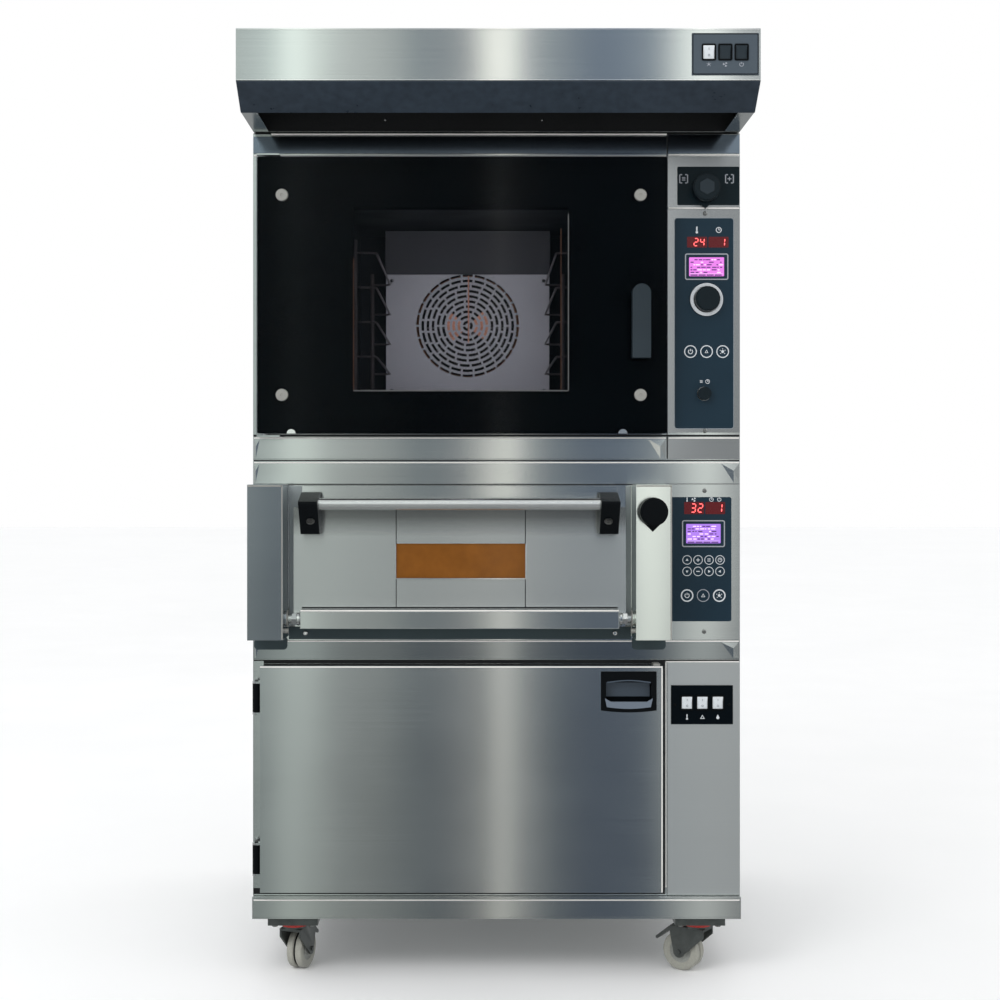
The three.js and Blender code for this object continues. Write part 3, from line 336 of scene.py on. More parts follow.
class Shape:
    """A mesh under construction, in millimetres, made of one or more closed parts."""

    def __init__(self):
        self.bm = bmesh.new()

    def faces(self, points, faces):
        """Adds vertices and faces."""
        made = [self.bm.verts.new(p) for p in points]
        for face in faces:
            self.bm.faces.new([made[i] for i in face])
        return self

    def plate(self, outline, d0, d1, holes=(), place=lambda a, d, b: (a, d, b)):
        """A flat plate from an outline and its holes, from depth d0 to d1."""
        loops = [outline, *holes]
        flat = [[Vector((a, b, 0)) for a, b in loop] for loop in loops]
        joined = [p for loop in loops for p in loop]
        count = len(joined)
        points = [place(a, d0, b) for a, b in joined] + [place(a, d1, b) for a, b in joined]
        faces = []
        for triangle in tessellate_polygon(flat):
            faces.append(tuple(triangle))
            faces.append(tuple(count + i for i in reversed(triangle)))
        start = 0
        for loop in loops:
            size = len(loop)
            for i in range(size):
                a, b = start + i, start + (i + 1) % size
                faces.append((a, b, count + b, count + a))
            start += size
        return self.faces(points, faces)

    def side_plate(self, outline, x0, x1, holes=()):
        """A plate lying in the plane of d and z, from x0 to x1; the outline is (d, z) points."""
        return self.plate(outline, x0, x1, holes, lambda a, x, b: (x, a, b))

    def flat_plate(self, outline, z0, z1, holes=()):
        """A level plate from z0 to z1; the outline is (x, d) points."""
        return self.plate(outline, z0, z1, holes, lambda a, z, b: (a, b, z))

    def box(self, x0, x1, d0, d1, z0, z1):
        """A block between two corners."""
        return self.plate([(x0, z0), (x1, z0), (x1, z1), (x0, z1)], d0, d1)

    def turned(self, profile, place, steps):
        """A profile of (radius, height) points turned right round, with place(a, height, b) for each."""
        points, faces, rows = [], [], len(profile)
        for i in range(steps):
            turn = 2 * math.pi * i / steps
            points += [place(r * math.cos(turn), height, r * math.sin(turn)) for r, height in profile]
            for j in range(rows - 1):
                a, b = i * rows + j, (i + 1) % steps * rows + j
                faces.append((a, a + 1, b + 1, b))
        return self.faces(points, faces)

    def lathe(self, profile, centre, axis="d", steps=40):
        """A profile of (radius, height) points turned round an axis through the centre."""
        def place(a, height, b):
            local = {"d": (a, height, b), "x": (height, a, b), "z": (a, b, height)}[axis]
            return tuple(c + v for c, v in zip(centre, local))

        self.turned(profile, place, steps)
        bmesh.ops.remove_doubles(self.bm, verts=self.bm.verts, dist=0.001)
        return self

    def tube(self, path, radius, steps=12):
        """A round bar along a path, closed at both ends."""
        path = [Vector(p) for p in path]
        points, faces = [], []
        side = Vector((0.31, 0.17, 0.93))
        for i, here in enumerate(path):
            ahead = (path[min(i + 1, len(path) - 1)] - path[max(i - 1, 0)]).normalized()
            first = (side - ahead * side.dot(ahead)).normalized()
            second = ahead.cross(first)
            side = first
            for j in range(steps):
                turn = 2 * math.pi * j / steps
                points.append(here + (first * math.cos(turn) + second * math.sin(turn)) * radius)
        for i in range(len(path) - 1):
            for j in range(steps):
                a, b = i * steps + j, i * steps + (j + 1) % steps
                faces.append((a, b, b + steps, a + steps))
        faces.append(tuple(reversed(range(steps))))
        faces.append(tuple(range(len(points) - steps, len(points))))
        return self.faces(points, faces)

    def make(self, name, material, body="tower", bevel=0.0, smooth=35):
        """The finished piece, in metres, riding on a body."""
        bmesh.ops.recalc_face_normals(self.bm, faces=self.bm.faces)
        mesh = bpy.data.meshes.new(name)
        for vertex in self.bm.verts:
            x, d, z = vertex.co
            vertex.co = (x * MM, (d + FRONT) * MM, z * MM)
        for edge in self.bm.edges:
            edge.smooth = len(edge.link_faces) == 2 and edge.calc_face_angle(0) < math.radians(smooth)
        for face in self.bm.faces:
            face.smooth = True
        self.bm.to_mesh(mesh)
        self.bm.free()
        mesh.materials.append(material)
        made = bpy.data.objects.new(name, mesh)
        bpy.context.scene.collection.objects.link(made)
        if bevel:
            round_edges(made, bevel)
        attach(made, body)
        return made


def round_edges(thing, width, segments=2):
    """Rounds a piece's sharp edges."""
    rounding = thing.modifiers.new("edges", "BEVEL")
    rounding.width = width * MM
    rounding.segments = segments
    rounding.limit_method = "ANGLE"
    rounding.angle_limit = math.radians(32)
    rounding.harden_normals = True


def finish_node(name, material, bevel=0.6):
    """A CAD node's own material, with its sharp edges slightly rounded."""
    node = NODES[name]
    node.data.materials.clear()
    node.data.materials.append(material)
    custom = node.data.attributes.get("custom_normal")
    if custom:
        node.data.attributes.remove(custom)
    for polygon in node.data.polygons:
        polygon.use_smooth = True
        polygon.material_index = 0
    weld = node.modifiers.new("weld", "WELD")
    weld.merge_threshold = 0.00001
    flat = node.modifiers.new("flat", "DECIMATE")
    flat.decimate_type = "DISSOLVE"
    flat.angle_limit = math.radians(0.5)
    if bevel:
        round_edges(node, bevel)
    else:
        split = node.modifiers.new("split", "EDGE_SPLIT")
        split.split_angle = math.radians(32)


def box_mm(name):
    """A CAD node's box as ((x0, d0, z0), (x1, d1, z1)), in millimetres."""
    low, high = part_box(name)
    return tuple((p.x * 1000, p.y * 1000 - FRONT, p.z * 1000) for p in (low, high))


def middle(name):
    """The middle of a CAD node's box."""
    low, high = box_mm(name)
    return tuple((a + b) / 2 for a, b in zip(low, high))


# ------------------------------------------------------------------ small fittings


def screw_profile(radius, height):
    """Half section of a domed screw head with a socket, from its rim to its middle."""
    return [(0, 0), (radius, 0), (radius, -0.35 * height), (radius * 0.82, -0.8 * height),
            (radius * 0.5, -height), (radius * 0.42, -height), (radius * 0.40, -0.35 * height),
            (0, -0.35 * height)]


def ring_profile(inner, outer, height):
    """Half section of a flat ring."""
    return [(inner, 0), (outer, 0), (outer, height), (inner, height), (inner, 0)]


def screws(name, places, radius=3.2, height=1.8, material=CHROME, axis="d", way=1, steps=18):
    """Screw heads that rise towards smaller values on the axis, or towards larger ones if way is -1."""
    shape = Shape()
    profile = [(r, way * h) for r, h in screw_profile(radius, height)]
    for place in places:
        shape.lathe(profile, place, axis, steps)
    return shape.make(name, material)


def digit_plates(shape, x, z, height, digit, d0, d1):
    """Seven-segment digit, made of its lit bars."""
    width, bar = height * 0.5, height * 0.115
    lit_bars = {"0": "abcdef", "1": "bc", "2": "abged", "3": "abgcd", "4": "fgbc", "8": "abcdefg"}[digit]
    gap = bar * 0.45
    lean = 0.08
    ends = {"a": (0, 1, 1, 1), "g": (0, 0.5, 1, 0.5), "d": (0, 0, 1, 0), "f": (0, 0.5, 0, 1),
            "b": (1, 0.5, 1, 1), "e": (0, 0, 0, 0.5), "c": (1, 0, 1, 0.5)}
    for name in lit_bars:
        ax, az, bx, bz = ends[name]
        a = Vector((x + ax * width + az * height * lean, z + az * height))
        b = Vector((x + bx * width + bz * height * lean, z + bz * height))
        along = (b - a).normalized()
        a, b = a + along * gap, b - along * gap
        side = Vector((-along.y, along.x)) * bar / 2
        tip = along * bar / 2
        outline = [a, a + tip + side, b - tip + side, b, b - tip - side, a + tip - side]
        shape.plate([tuple(p) for p in outline], d0, d1)


def icon(kind, cx, cz, size):
    """Outlines and holes of a small generic sign, centred at cx, cz: a list of (outline, holes)."""
    r = size / 2
    line = size * 0.13

    def bar(ax, az, bx, bz, thick=1.0):
        return stroke(cx + r * ax, cz + r * az, cx + r * bx, cz + r * bz, line * thick), []

    if kind == "thermometer":
        return [bar(0, -0.4, 0, 1, 1.5), (circle(cx, cz - r * 0.65, r * 0.38, 16), [])]
    if kind == "clock":
        ring = (circle(cx, cz, r, 24), [circle(cx, cz, r - line, 24)])
        return [ring, bar(0, 0, 0, 0.6), bar(0, 0, 0.45, 0)]
    if kind == "drop":
        bowl = arc_band(cx, cz - r * 0.2, 0.01, r * 0.6, 180, 360)[:15]
        return [([(cx, cz + r), (cx - r * 0.5, cz)] + bowl + [(cx + r * 0.5, cz)], [])]
    if kind == "triangle":
        middle_z = cz - r * 0.15
        return [(circle(cx, middle_z, r, 3, 90), [circle(cx, middle_z, r * 0.55, 3, 90)])]
    if kind == "lamp":
        rays = [bar(0.7 * math.cos(t), 0.7 * math.sin(t), math.cos(t), math.sin(t))
                for t in (0.5, 1.57, 2.64, 3.9, 5.5)]
        return rays + [(circle(cx, cz, r * 0.45, 16), [])]
    if kind == "fan":
        return [(arc_band(cx, cz, r * 0.2, r, a, a + 60, 5), []) for a in (20, 140, 260)]
    if kind == "plus":
        foot = 0.71 * line / r
        return [bar(-0.8, 0, 0.8, 0, 1.4), bar(0, foot, 0, 0.8, 1.4), bar(0, -0.8, 0, -foot, 1.4)]
    if kind == "edge":  # a bracket, whose feet point left if the size is negative
        tall, width = abs(r), abs(line)
        feet = [(stroke(cx + line * 0.5, z, cx + line * 2.2, z, width), []) for z in (cz + tall, cz - tall)]
        return [(stroke(cx, cz - tall, cx, cz + tall, width), [])] + feet
    if kind == "minus":
        return [bar(-0.8, 0, 0.8, 0, 1.6)]
    if kind == "bars":
        return [bar(-0.7, k, 0.7, k) for k in (-0.55, 0.0, 0.55)]
    if kind == "power":
        return [(arc_band(cx, cz, r - line * 1.3, r * 0.95, 125, 415, 20), []), bar(0, 0.15, 0, 1, 1.2)]
    start = {"up": 90, "down": 270, "left": 180, "right": 0}[kind]
    return [(circle(cx, cz, r * 0.75, 3, start), [])]


def draw(name, signs, front, material, body="tower", thick=0.35):
    """Several signs as one thin raised print on a face at depth front."""
    shape = Shape()
    for kind, cx, cz, size in signs:
        for outline, holes in icon(kind, cx, cz, size):
            shape.plate(outline, front - thick, front, holes)
    return shape.make(name, material, body)


def frame_line(name, x0, x1, z0, z1, width, front, material, radius=3, thick=0.5, body="tower"):
    """A thin raised outline round a field."""
    inner = rounded(x0 + width, x1 - width, z0 + width, z1 - width, max(radius - width, 0.4))
    shape = Shape().plate(rounded(x0, x1, z0, z1, radius), front - thick, front, [inner])
    return shape.make(name, material, body)


def lcd(name, box, glass, front, seed):
    """A lit display with generic blocks of text on it, in a dark bezel with a light edge."""
    x0, x1, z0, z1 = box
    bezel = Shape().plate(rounded(x0 - 8, x1 + 8, z0 - 7, z1 + 7, 4), front - 1.4, front,
                          [rounded(x0, x1, z0, z1, 1.5)])
    bezel.make(name + "_bezel", LABEL, bevel=0.3)
    frame_line(name + "_edge", x0 - 8.6, x1 + 8.6, z0 - 7.6, z1 + 7.6, 2.4, front - 1.4, LCD_RIM, 4.4, 0.25)
    screen = Shape().plate(rounded(x0 + 0.2, x1 - 0.2, z0 + 0.2, z1 - 0.2, 1.5), front - 0.7, front)
    screen.make(name + "_screen", glass)
    rng = random.Random(seed)
    dark, light = Shape(), Shape()
    raised = (front - 0.95, front - 0.71)
    row = z1 - 4
    width = x1 - x0
    while row > z0 + 8:
        at = x0 + 3
        while at < x1 - 8:
            size = rng.uniform(2.5, width * 0.14)
            target = light if rng.random() < 0.55 else dark
            if rng.random() < 0.8:
                target.box(at, min(at + size, x1 - 2), *raised, row - 2.2, row)
            at += size + rng.uniform(1.2, 3.5)
        row -= 5.2
    light.box(x0 + 2, x1 - 2, *raised, z0 + 4.6, z0 + 5.2)
    for k in range(4):
        left = x0 + 3 + k * (width - 6) / 4
        dark.box(left, left + (width - 6) / 4 - 2, *raised, z0 + 1.2, z0 + 3.6)
    dark.make(name + "_text", LCD_DARK)
    light.make(name + "_marks", LCD_LIGHT)


def led_pair(name, box, digits, single, front):
    """Two small red displays side by side: a number at the left and one digit at the right."""
    x0, x1, z0, z1 = box
    mid = (x0 + x1) / 2
    window = Shape()
    window.plate(rounded(x0, mid - 1.5, z0, z1, 1.5), front - 0.5, front)
    window.plate(rounded(mid + 1.5, x1, z0, z1, 1.5), front - 0.5, front)
    window.make(name + "_window", LED_WINDOW)
    shape = Shape()
    height = (z1 - z0) * 0.68
    base = z0 + (z1 - z0) * 0.16
    for i, one in enumerate(digits):
        digit_plates(shape, x0 + 14 + i * height * 0.85, base, height, one, front - 0.8, front - 0.5)
    digit_plates(shape, x1 - 16, base, height, single, front - 0.8, front - 0.5)
    shape.make(name + "_digits", LED_RED)


def key_ring(shape, cx, cz, outer, line, front, thick=0.6):
    """The printed and embossed ring of a touch key."""
    shape.plate(circle(cx, cz, outer, 32), front - thick, front, [circle(cx, cz, outer - line, 32)])


# ------------------------------------------------------------------ CAD nodes


def finish_cad():
    """Materials and edge rounding for every CAD node that stays visible."""
    for names, material, bevel in (
        (("base_frame", "proofer_casing", "deck_casing", "convection_casing", "hood_shell"), STEEL, 0.7),
        (("proofer_front_panel",), PROOFER_COLUMN, 0.7),
        (("deck_pillar_left",), SHADED_LEFT_PILLAR, 1.6),
        (("deck_pillar_right",), LIT_RIGHT_PILLAR, 1.6),
        (("proofer_door",), DOOR_STEEL, 0.8),
        (("deck_door",), DECK_STEEL, 0.8),
        (("deck_control_panel",), STEEL, 0.5),
        (("convection_control_panel", "convection_vent_panel"), COLUMN_STEEL, 0.5),
        (("proofer_liner", "humidity_pan", "deck_chamber"), INNER, 0.5),
        (("convection_chamber",), BLACK_LINER, 0.5),
        (("hood_filter",), DARK_LINER, 0.0),
        (("proofer_hinge_lower", "proofer_hinge_upper"), BLACK, 0.8),
        (("proofer_door_handle",), BLACK, 1.0),
        (("proofer_switch_plate",), GLOSS_BLACK, 0.5),
        (("hood_switch_plate",), SWITCH_PLATE, 0.5),
        (("hood_visor",), VISOR, 0.6),
        (("ring_heater", "deck_heater_top"), HEATER, 0.0),
        (("deck_stone",), STONE, 1.5),
        (("fan_motor",), ALUMINIUM, 0.0),
        (("fan_impeller",), FAN_STEEL, 0.0),
        (("deck_handle_bar",), TUBE_STEEL, 0.8),
        (("deck_bracket_left", "deck_bracket_right"), BRACKET, 1.4),
        (("convection_door_frame",), BLACK, 0.6),
        (("convection_door_handle",), HANDLE_GREY, 1.6),
        (("convection_door_glass",), DOOR_GLASS, 0.8),
        (("convection_inner_glass",), CLEAR_GLASS, 0.5),
        (("deck_door_glass",), AMBER_GLASS, 0.5),
        (("vent_knob", "program_knob", "reset_button"), KNOB_BLACK, 0.8),
        (("deck_vent_knob",), BLACK, 0.8),
        (("proofer_switch_1", "proofer_switch_2", "proofer_switch_3", "hood_switch_1"), ROCKER_WHITE, 0.5),
        (("hood_switch_2", "hood_switch_3"), HANDLE_GREY, 0.5),
        (("castor_fork_fl", "castor_fork_fr", "castor_fork_rl", "castor_fork_rr"), FORK_STEEL, 0.5),
        (("castor_brake_fl", "castor_brake_fr"), FORK_STEEL, 0.5),
    ):
        for name in names:
            finish_node(name, material, bevel)


# ------------------------------------------------------------------ hood


def hood_details():
    """Lips, the switches' frame, signs and rims, the wall under the hood in painted shade, a bead in painted
    highlight, and screws.
    """
    low, high = box_mm("hood_shell")
    face, top = low[1], HOOD_TOP
    lips = Shape()
    lips.box(low[0] + 1, high[0] - 1, face - 0.8, face, top - 3.4, top - 0.3)
    lips.box(low[0] + 1, high[0] - 1, face - 0.6, face, 1778, 1780)
    lips.make("hood_lips", CHROME, bevel=0.4)
    plate_low, plate_high = box_mm("hood_switch_plate")
    front = plate_low[1]
    frame_line("hood_switch_frame", plate_low[0] + 1, plate_high[0] - 1, plate_low[2] + 1,
               plate_high[2] - 1, 1.4, front, BLACK, 3)
    kinds = ("lamp", "fan", "power")
    signs = [(kind, middle(f"hood_switch_{i + 1}")[0], plate_low[2] + 20, 9)
             for i, kind in enumerate(kinds)]
    draw("hood_switch_signs", signs, front, LCD_RIM)
    for i in (1, 2, 3):
        rocker_rim(f"hood_switch_{i}", front)
    # painted shade: the wall and roof under the hood are near black, as they lie in the hood's shade
    back_wall = Shape()
    back_wall.box(-486, 486, -9, -7, 1735, 1788)
    back_wall.box(-486, 486, -6.9, 60, 1786.5, 1788)
    back_wall.make("hood_plenum_wall_shade", DARK)
    # painted highlight: a thin bright bead along the top of the strips under the hood
    bead = Shape().tube([(-462, -4, 1729), (0, -4, 1729), (349, -4, 1729)], 1.9)
    bead.make("hood_rear_bead_highlight", EDGE_HIGHLIGHT)
    screws("hood_wall_screws", [(x, -9, 1757) for x in (-228, 93)], 2.6, 2)
    ends = [(x, REAR, z) for x in (-470, -235, 0, 235, 470) for z in (1860, 1750)]
    screws("hood_rear_screws", ends, 4.2, 2.0, ZINC, way=-1, steps=16)


def rocker_rim(node, face):
    """A raised rim round a rocker switch."""
    low, high = box_mm(node)
    outer = rounded(low[0] - 3, high[0] + 3, low[2] - 3.5, high[2] + 3.5, 3)
    inner = rounded(low[0] - 0.4, high[0] + 0.4, low[2] - 0.4, high[2] + 0.4, 1.5)
    Shape().plate(outer, face - 1.6, face, [inner]).make(node + "_rim", BLACK, bevel=0.5)


# ------------------------------------------------------------------ convection oven

GLASS_WINDOW = (-291.5, 146.5, 1200, 1573)


def convection_door_details():
    """Black print behind the glass, the window's edges, stud caps, clips and the door's seal."""
    low, high = box_mm("convection_door_glass")
    x0, x1, z0, z1 = GLASS_WINDOW
    body = "convection_door"
    print_sheet = Shape().plate(rounded(low[0] + 1.5, high[0] - 1.5, low[2] + 1.5, high[2] - 1.5, 3),
                                high[1] + 0.05, high[1] + 0.6, [rounded(x0, x1, z0, z1, 3)])
    print_sheet.make("convection_glass_print", ENAMEL, body)
    back = high[1] + 0.7
    edges = Shape()
    edges.box(x0, x1, back, back + 1, z0, z0 + 2.4)
    edges.box(x1 - 2.2, x1, back, back + 1, z0 + 2.5, z0 + 360)
    edges.make("convection_window_edges", STUD_STEEL, body, bevel=0.2)
    warm = Shape()
    warm.box(x0, x0 + 2.2, back, back + 1, z0 + 2.5, z0 + 270)
    warm.box(x1 - 17, x1 - 15.2, back, back + 1, z0 + 2.5, z0 + 330)
    warm.make("convection_window_glow", HEATER, body, bevel=0.2)
    studs = Shape()
    cap = [(0, 0), (12.4, 0), (12.4, -5.2), (11.2, -6.4), (3.4, -6.6), (2.6, -5.4), (0, -5.4)]
    for x in (-434.5, 290.5):
        for z in (1192, 1596.5):
            studs.lathe(cap, (x, low[1] + 0.4, z), "d", 36)
    studs.make("convection_stud_caps", STUD_STEEL, body)
    clips = Shape()
    for x in (-416, 255):
        half = circle(x, low[2] + 1, 9, 32)[:17]
        clips.plate(half, low[1] - 2.2, low[1] - 0.05)
    clips.make("convection_glass_clips", CHROME, body, bevel=0.6)
    gasket = frame_line("convection_door_seal", low[0] + 40, high[0] - 40, low[2] + 26, high[2] - 26, 9,
                        -1.5, RUBBER, 12, 4.2, body)


def front_skin(name, x0, x1, z0, z1, thick=1.8, material=None, face=0.0, bevel=1.3):
    """A folded cover sheet lying on a front, with rounded edges that catch the light."""
    shape = Shape().box(x0, x1, face - thick, face - HAIR, z0, z1)
    made = shape.make(name, material or STEEL, bevel=bevel)
    made.modifiers["edges"].segments = 4
    return made


def corner_fold(shape, x, way, z0, z1, face, width=36, lift=0.8):
    """The slight pyramid of a folded sheet's corner, towards the end at x."""
    base = [(x, z0), (x, z1), (x - way * width, z1), (x - way * width * 0.3, z0)]
    top = (x - way * width * 0.3, face - lift, z0 + 0.62 * (z1 - z0))
    points = [(a, face, b) for a, b in base] + [top]
    shape.faces(points, [(0, 1, 2, 3), (0, 1, 4), (1, 2, 4), (2, 3, 4), (3, 0, 4)])


def cover_strips():
    """The cover sheets above and below each opening, with their lips in painted highlight and corner folds.
    """
    strips = (("convection_lower_strip", -499, 349, 1063, 1108, 0.0),
              ("deck_top_strip", -499.5, 499.5, 1012.5, 1057.5, 0.0),
              ("deck_lower_strip", -499, 499, 652, 691, 0.0),
              ("base_strip", -498, 498, 126, 163, box_mm("base_frame")[0][1]))
    lips, folds = Shape(), Shape()
    for name, x0, x1, z0, z1, face in strips:
        material = SHADED_LOWER_STRIP if name == "deck_lower_strip" else STEEL
        front_skin(name, x0, x1, z0, z1, material=material, face=face)
        # painted highlight: a bright lip along each strip's top edge
        lips.box(x0 + 1.5, x1 - 1.5, face - 2.1, face - 1.81, z1 - 3.0, z1 - 0.6)
        if name != "base_strip":
            corner_fold(folds, x1 - 2, 1, z0 + 2.5, z1 - 4, face - 1.82)
            corner_fold(folds, x0 + 2, -1, z0 + 2.5, z1 - 4, face - 1.82, 11, 0.5)
    front_skin("convection_top_strip", -499, 349, 1690, 1725, material=SHADE_STEEL)
    front_skin("convection_column_top", 352, 499, 1690, 1729, material=SHADE_STEEL)
    front_skin("convection_column_foot", 352, 499, 1063, 1108, material=COLUMN_STEEL)
    lips.box(353.5, 497.5, -2.1, -1.81, 1105, 1107.4)
    for x0, x1, z in ((-499, 349, 1684), (352, 499, 1686), (352, 499, 1576.6)):
        lips.box(x0 + 1, x1 - 1, -2.3, -HAIR, z, z + 2.6)
    lips.box(347, 348.6, -2.3, -HAIR, 184, 648)
    lips.box(347, 498, -2.3, -HAIR, 646, 648.2)
    lips.make("strip_lip_highlights", EDGE_HIGHLIGHT, bevel=0.3)
    folds.make("strip_corner_folds", STEEL, smooth=1)


def jambs_and_seams():
    """The deck door's jambs in painted shade, the painted shadows under the pillars and the dark seams
    between the cover sheets.
    """
    # painted shade: the jambs beside the deck door
    front_skin("deck_jamb_left", -426, -398, 722, 1008, material=LIGHT_JAMB)
    front_skin("deck_jamb_right", 265, 276, 722, 1008, material=LIGHT_JAMB)
    front_skin("deck_column_gap", 349.5, 356.5, 702, 1009, material=DARK)
    # painted shadow: a dark rounded plate under each pillar stands for the shadow the pillar casts on the
    # strip below
    for side, x0, x1 in (("left", -497, -429), ("right", 278, 347)):
        foot = Shape().plate(rounded(x0, x1, 672, 699, 8), -3.6, -1.83)
        foot.make(f"pillar_painted_shadow_{side}", JAMB, bevel=1.0)
    seams = Shape()
    level = [(-499, 499, z - 1.1, z + 1.1) for z in (1060.2, 1010.4, 649.8)]
    for x0, x1, z0, z1 in (*level, (-499, 499, 1109, 1113), (-499, 499, 1730, 1731.5),
                           (349.4, 351.6, 1064, 1729), (-478, 338, 643.5, 648.6),
                           (337.5, 346, 170, 648.6), (-499, 337, 170, 182)):
        seams.box(x0, x1, -0.9, -HAIR, z0, z1)
    seams.make("front_seams", DARK)


def fan_guard():
    """The guard plate before the fan, with rings of short staggered slots, and a dark plate of painted shade
    before its upper part.
    """
    x0, x1, z0, z1 = -262, 138, 1225, 1567
    cx, cz, radius, rings, face = -62, 1398, 126, 10, 620
    holes = []
    for ring in range(1, rings + 1):
        outer = radius * ring / rings
        count = max(2, round(2 * math.pi * outer / 30))
        bridge = math.degrees(5.0 / outer)
        for k in range(count):
            start = 360 / count * (k + (ring % 2) / 2)
            holes.append(arc_band(cx, cz, outer - 6.4, outer, start + bridge / 2,
                                  start + 360 / count - bridge / 2, 7))
    plate = Shape().plate(rounded(x0, x1, z0, z1, 4), face, face + 2, holes)
    for x in (x0 + 10, x1 - 10):
        for z in (z0 + 10, z1 - 10):
            plate.tube([(x, face + 1, z), (x, face + 50, z), (x, face + 98, z)], 5, 10)
    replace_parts(plate.make("fan_guard_plate", GREY_LINER), "fan_baffle")
    # painted shade: a dark slanted plate before the guard's upper part, where it lies in shade under the
    # chamber's roof
    deflector = [(face - 4, 1523), (face - 6, 1523), (face - 16, 1628), (face - 14, 1628)]
    Shape().side_plate(deflector, x0 - 1, x1 + 1).make("fan_guard_shade_plate", DARK_LINER)
    probe = Shape().tube([(cx + 2, face - 6, z) for z in (1520, 1440, 1356)], 1.6)
    probe.make("oven_probe", COPPER)
    glow = Shape()
    for start, end in ((140, 225), (-40, 45)):
        glow.plate(arc_band(cx, cz, 18, 56, start, end), face + 18, face + 20)
    glow.make("fan_hub_plate", COPPER, "fan")
    bolts = [(x, face, z) for x in (x0 + 14, x1 - 14) for z in (z0 + 14, 1508)]
    screws("fan_guard_screws", bolts, 5, 3)


def dial_ring():
    """The bright ring round the programme dial."""
    rim = [(26.6, 0), (33.6, 0), (33.6, -2.4), (32.4, -3.4), (27.4, -3.4), (26.6, -2.6), (26.6, 0)]
    ring = Shape().lathe(rim, (DIAL[0], -5, DIAL[1]), "d", 56)
    ring.make("dial_ring", WHITE_INK)


def convection_panels():
    """The two control labels beside the convection oven, with displays, keys and signs."""
    face = -2.0
    outline = rounded(366, 486, 1126, 1557, 5)
    holes = [circle(*DIAL, 34, 48), circle(*RESET, 14.5, 32)]
    front = face - 0.6
    Shape().plate(outline, front, face, holes).make("convection_label", LABEL, bevel=0.2)
    frame_line("convection_label_edge", 365, 487, 1125, 1558, 1.0, face, GREY_INK, 6, 0.4)
    led_pair("convection_led", (391, 476, 1497, 1519), "24", "1", front)
    lcd("convection_lcd", (395, 467, 1438, 1477), LCD_PINK, front, 11)
    draw("convection_signs", [("thermometer", 411, 1533, 14), ("clock", 456, 1533, 12)], front, WHITE_INK)
    keys = Shape()
    for x in (398, 431, 464):
        key_ring(keys, x, 1283.5, 13, 2.0, front)
    keys.make("convection_key_rings", WHITE_INK)
    draw("convection_key_signs", [("power", 398, 1283.5, 11), ("triangle", 431, 1283.5, 9),
                                  ("lamp", 464, 1283.5, 13)], front, WHITE_INK)
    draw("convection_reset_signs", [("bars", 420, 1222, 8), ("clock", 433, 1222, 9)], front, WHITE_INK)
    screws("convection_panel_screws", [(428, -2, 1567), (428, -2, 1121)], 4.6, 2.2, ZINC)
    knob_face = box_mm("vent_knob")[0][1]
    grip = Shape().plate(circle(428, 1617, 17, 6, 30), knob_face - 1.5, knob_face)
    grip.make("vent_knob_grip", HANDLE_GREY, "vent_knob", bevel=1.2)
    vent = Shape().plate(rounded(371, 498.5, 1584, 1663, 3), front, face, [circle(428, 1616, 23, 40)])
    vent.make("vent_label", VENT_LABEL, bevel=0.2)
    signs = [("bars", 384, 1638, 10), ("plus", 478, 1638, 10)]
    for x in (384, 478):
        signs += [("edge", x - 8, 1638, 17), ("edge", x + 8, 1638, -17)]
    draw("vent_signs", signs, front, LCD_RIM)


def tray_wires(tag, side):
    """Bent wires that carry the trays at five levels, between two posts, within the rack's box."""
    low, high = box_mm(f"tray_rack_{tag}")
    outer, inner = (low[0] + 5, high[0] - 2.5) if side < 0 else (high[0] - 5, low[0] + 2.5)
    wires = Shape()
    for d in (low[1] + 5, high[1] - 5):
        wires.tube([(outer, d, low[2]), (outer, d, (low[2] + high[2]) / 2), (outer, d, high[2])], 4.5)
    for i in range(5):
        z = low[2] + 13.5 + 72 * i
        front, rear = low[1] + 5, high[1] - 5
        path = [(outer, front, z), (inner + side * 8, front + 4, z), (inner, front + 14, z),
                (inner, rear - 14, z), (inner + side * 8, rear - 4, z), (outer, rear, z)]
        wires.tube(path, 2.4, 8)
    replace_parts(wires.make(f"tray_wires_{tag}", RACK_STEEL), f"tray_rack_{tag}")


def oven_inside():
    """The seal round the convection oven's mouth, and its lamp's lens."""
    x0, x1, z0, z1 = -332, 208, 1190, 1632
    seal = Shape().plate(rounded(x0 - 16, x1 + 16, z0 - 14, z1 + 14, 14), -5.4, -0.2,
                         [rounded(x0 - 6, x1 + 6, z0 - 5, z1 + 5, 8)])
    seal.make("convection_gasket", RUBBER, bevel=0.8)
    lamp = Shape().flat_plate(rounded(-100, -24, 60, 110, 10), 1622, 1629)
    lamp.make("convection_lamp_lens", LAMP, bevel=2)


# ------------------------------------------------------------------ deck oven


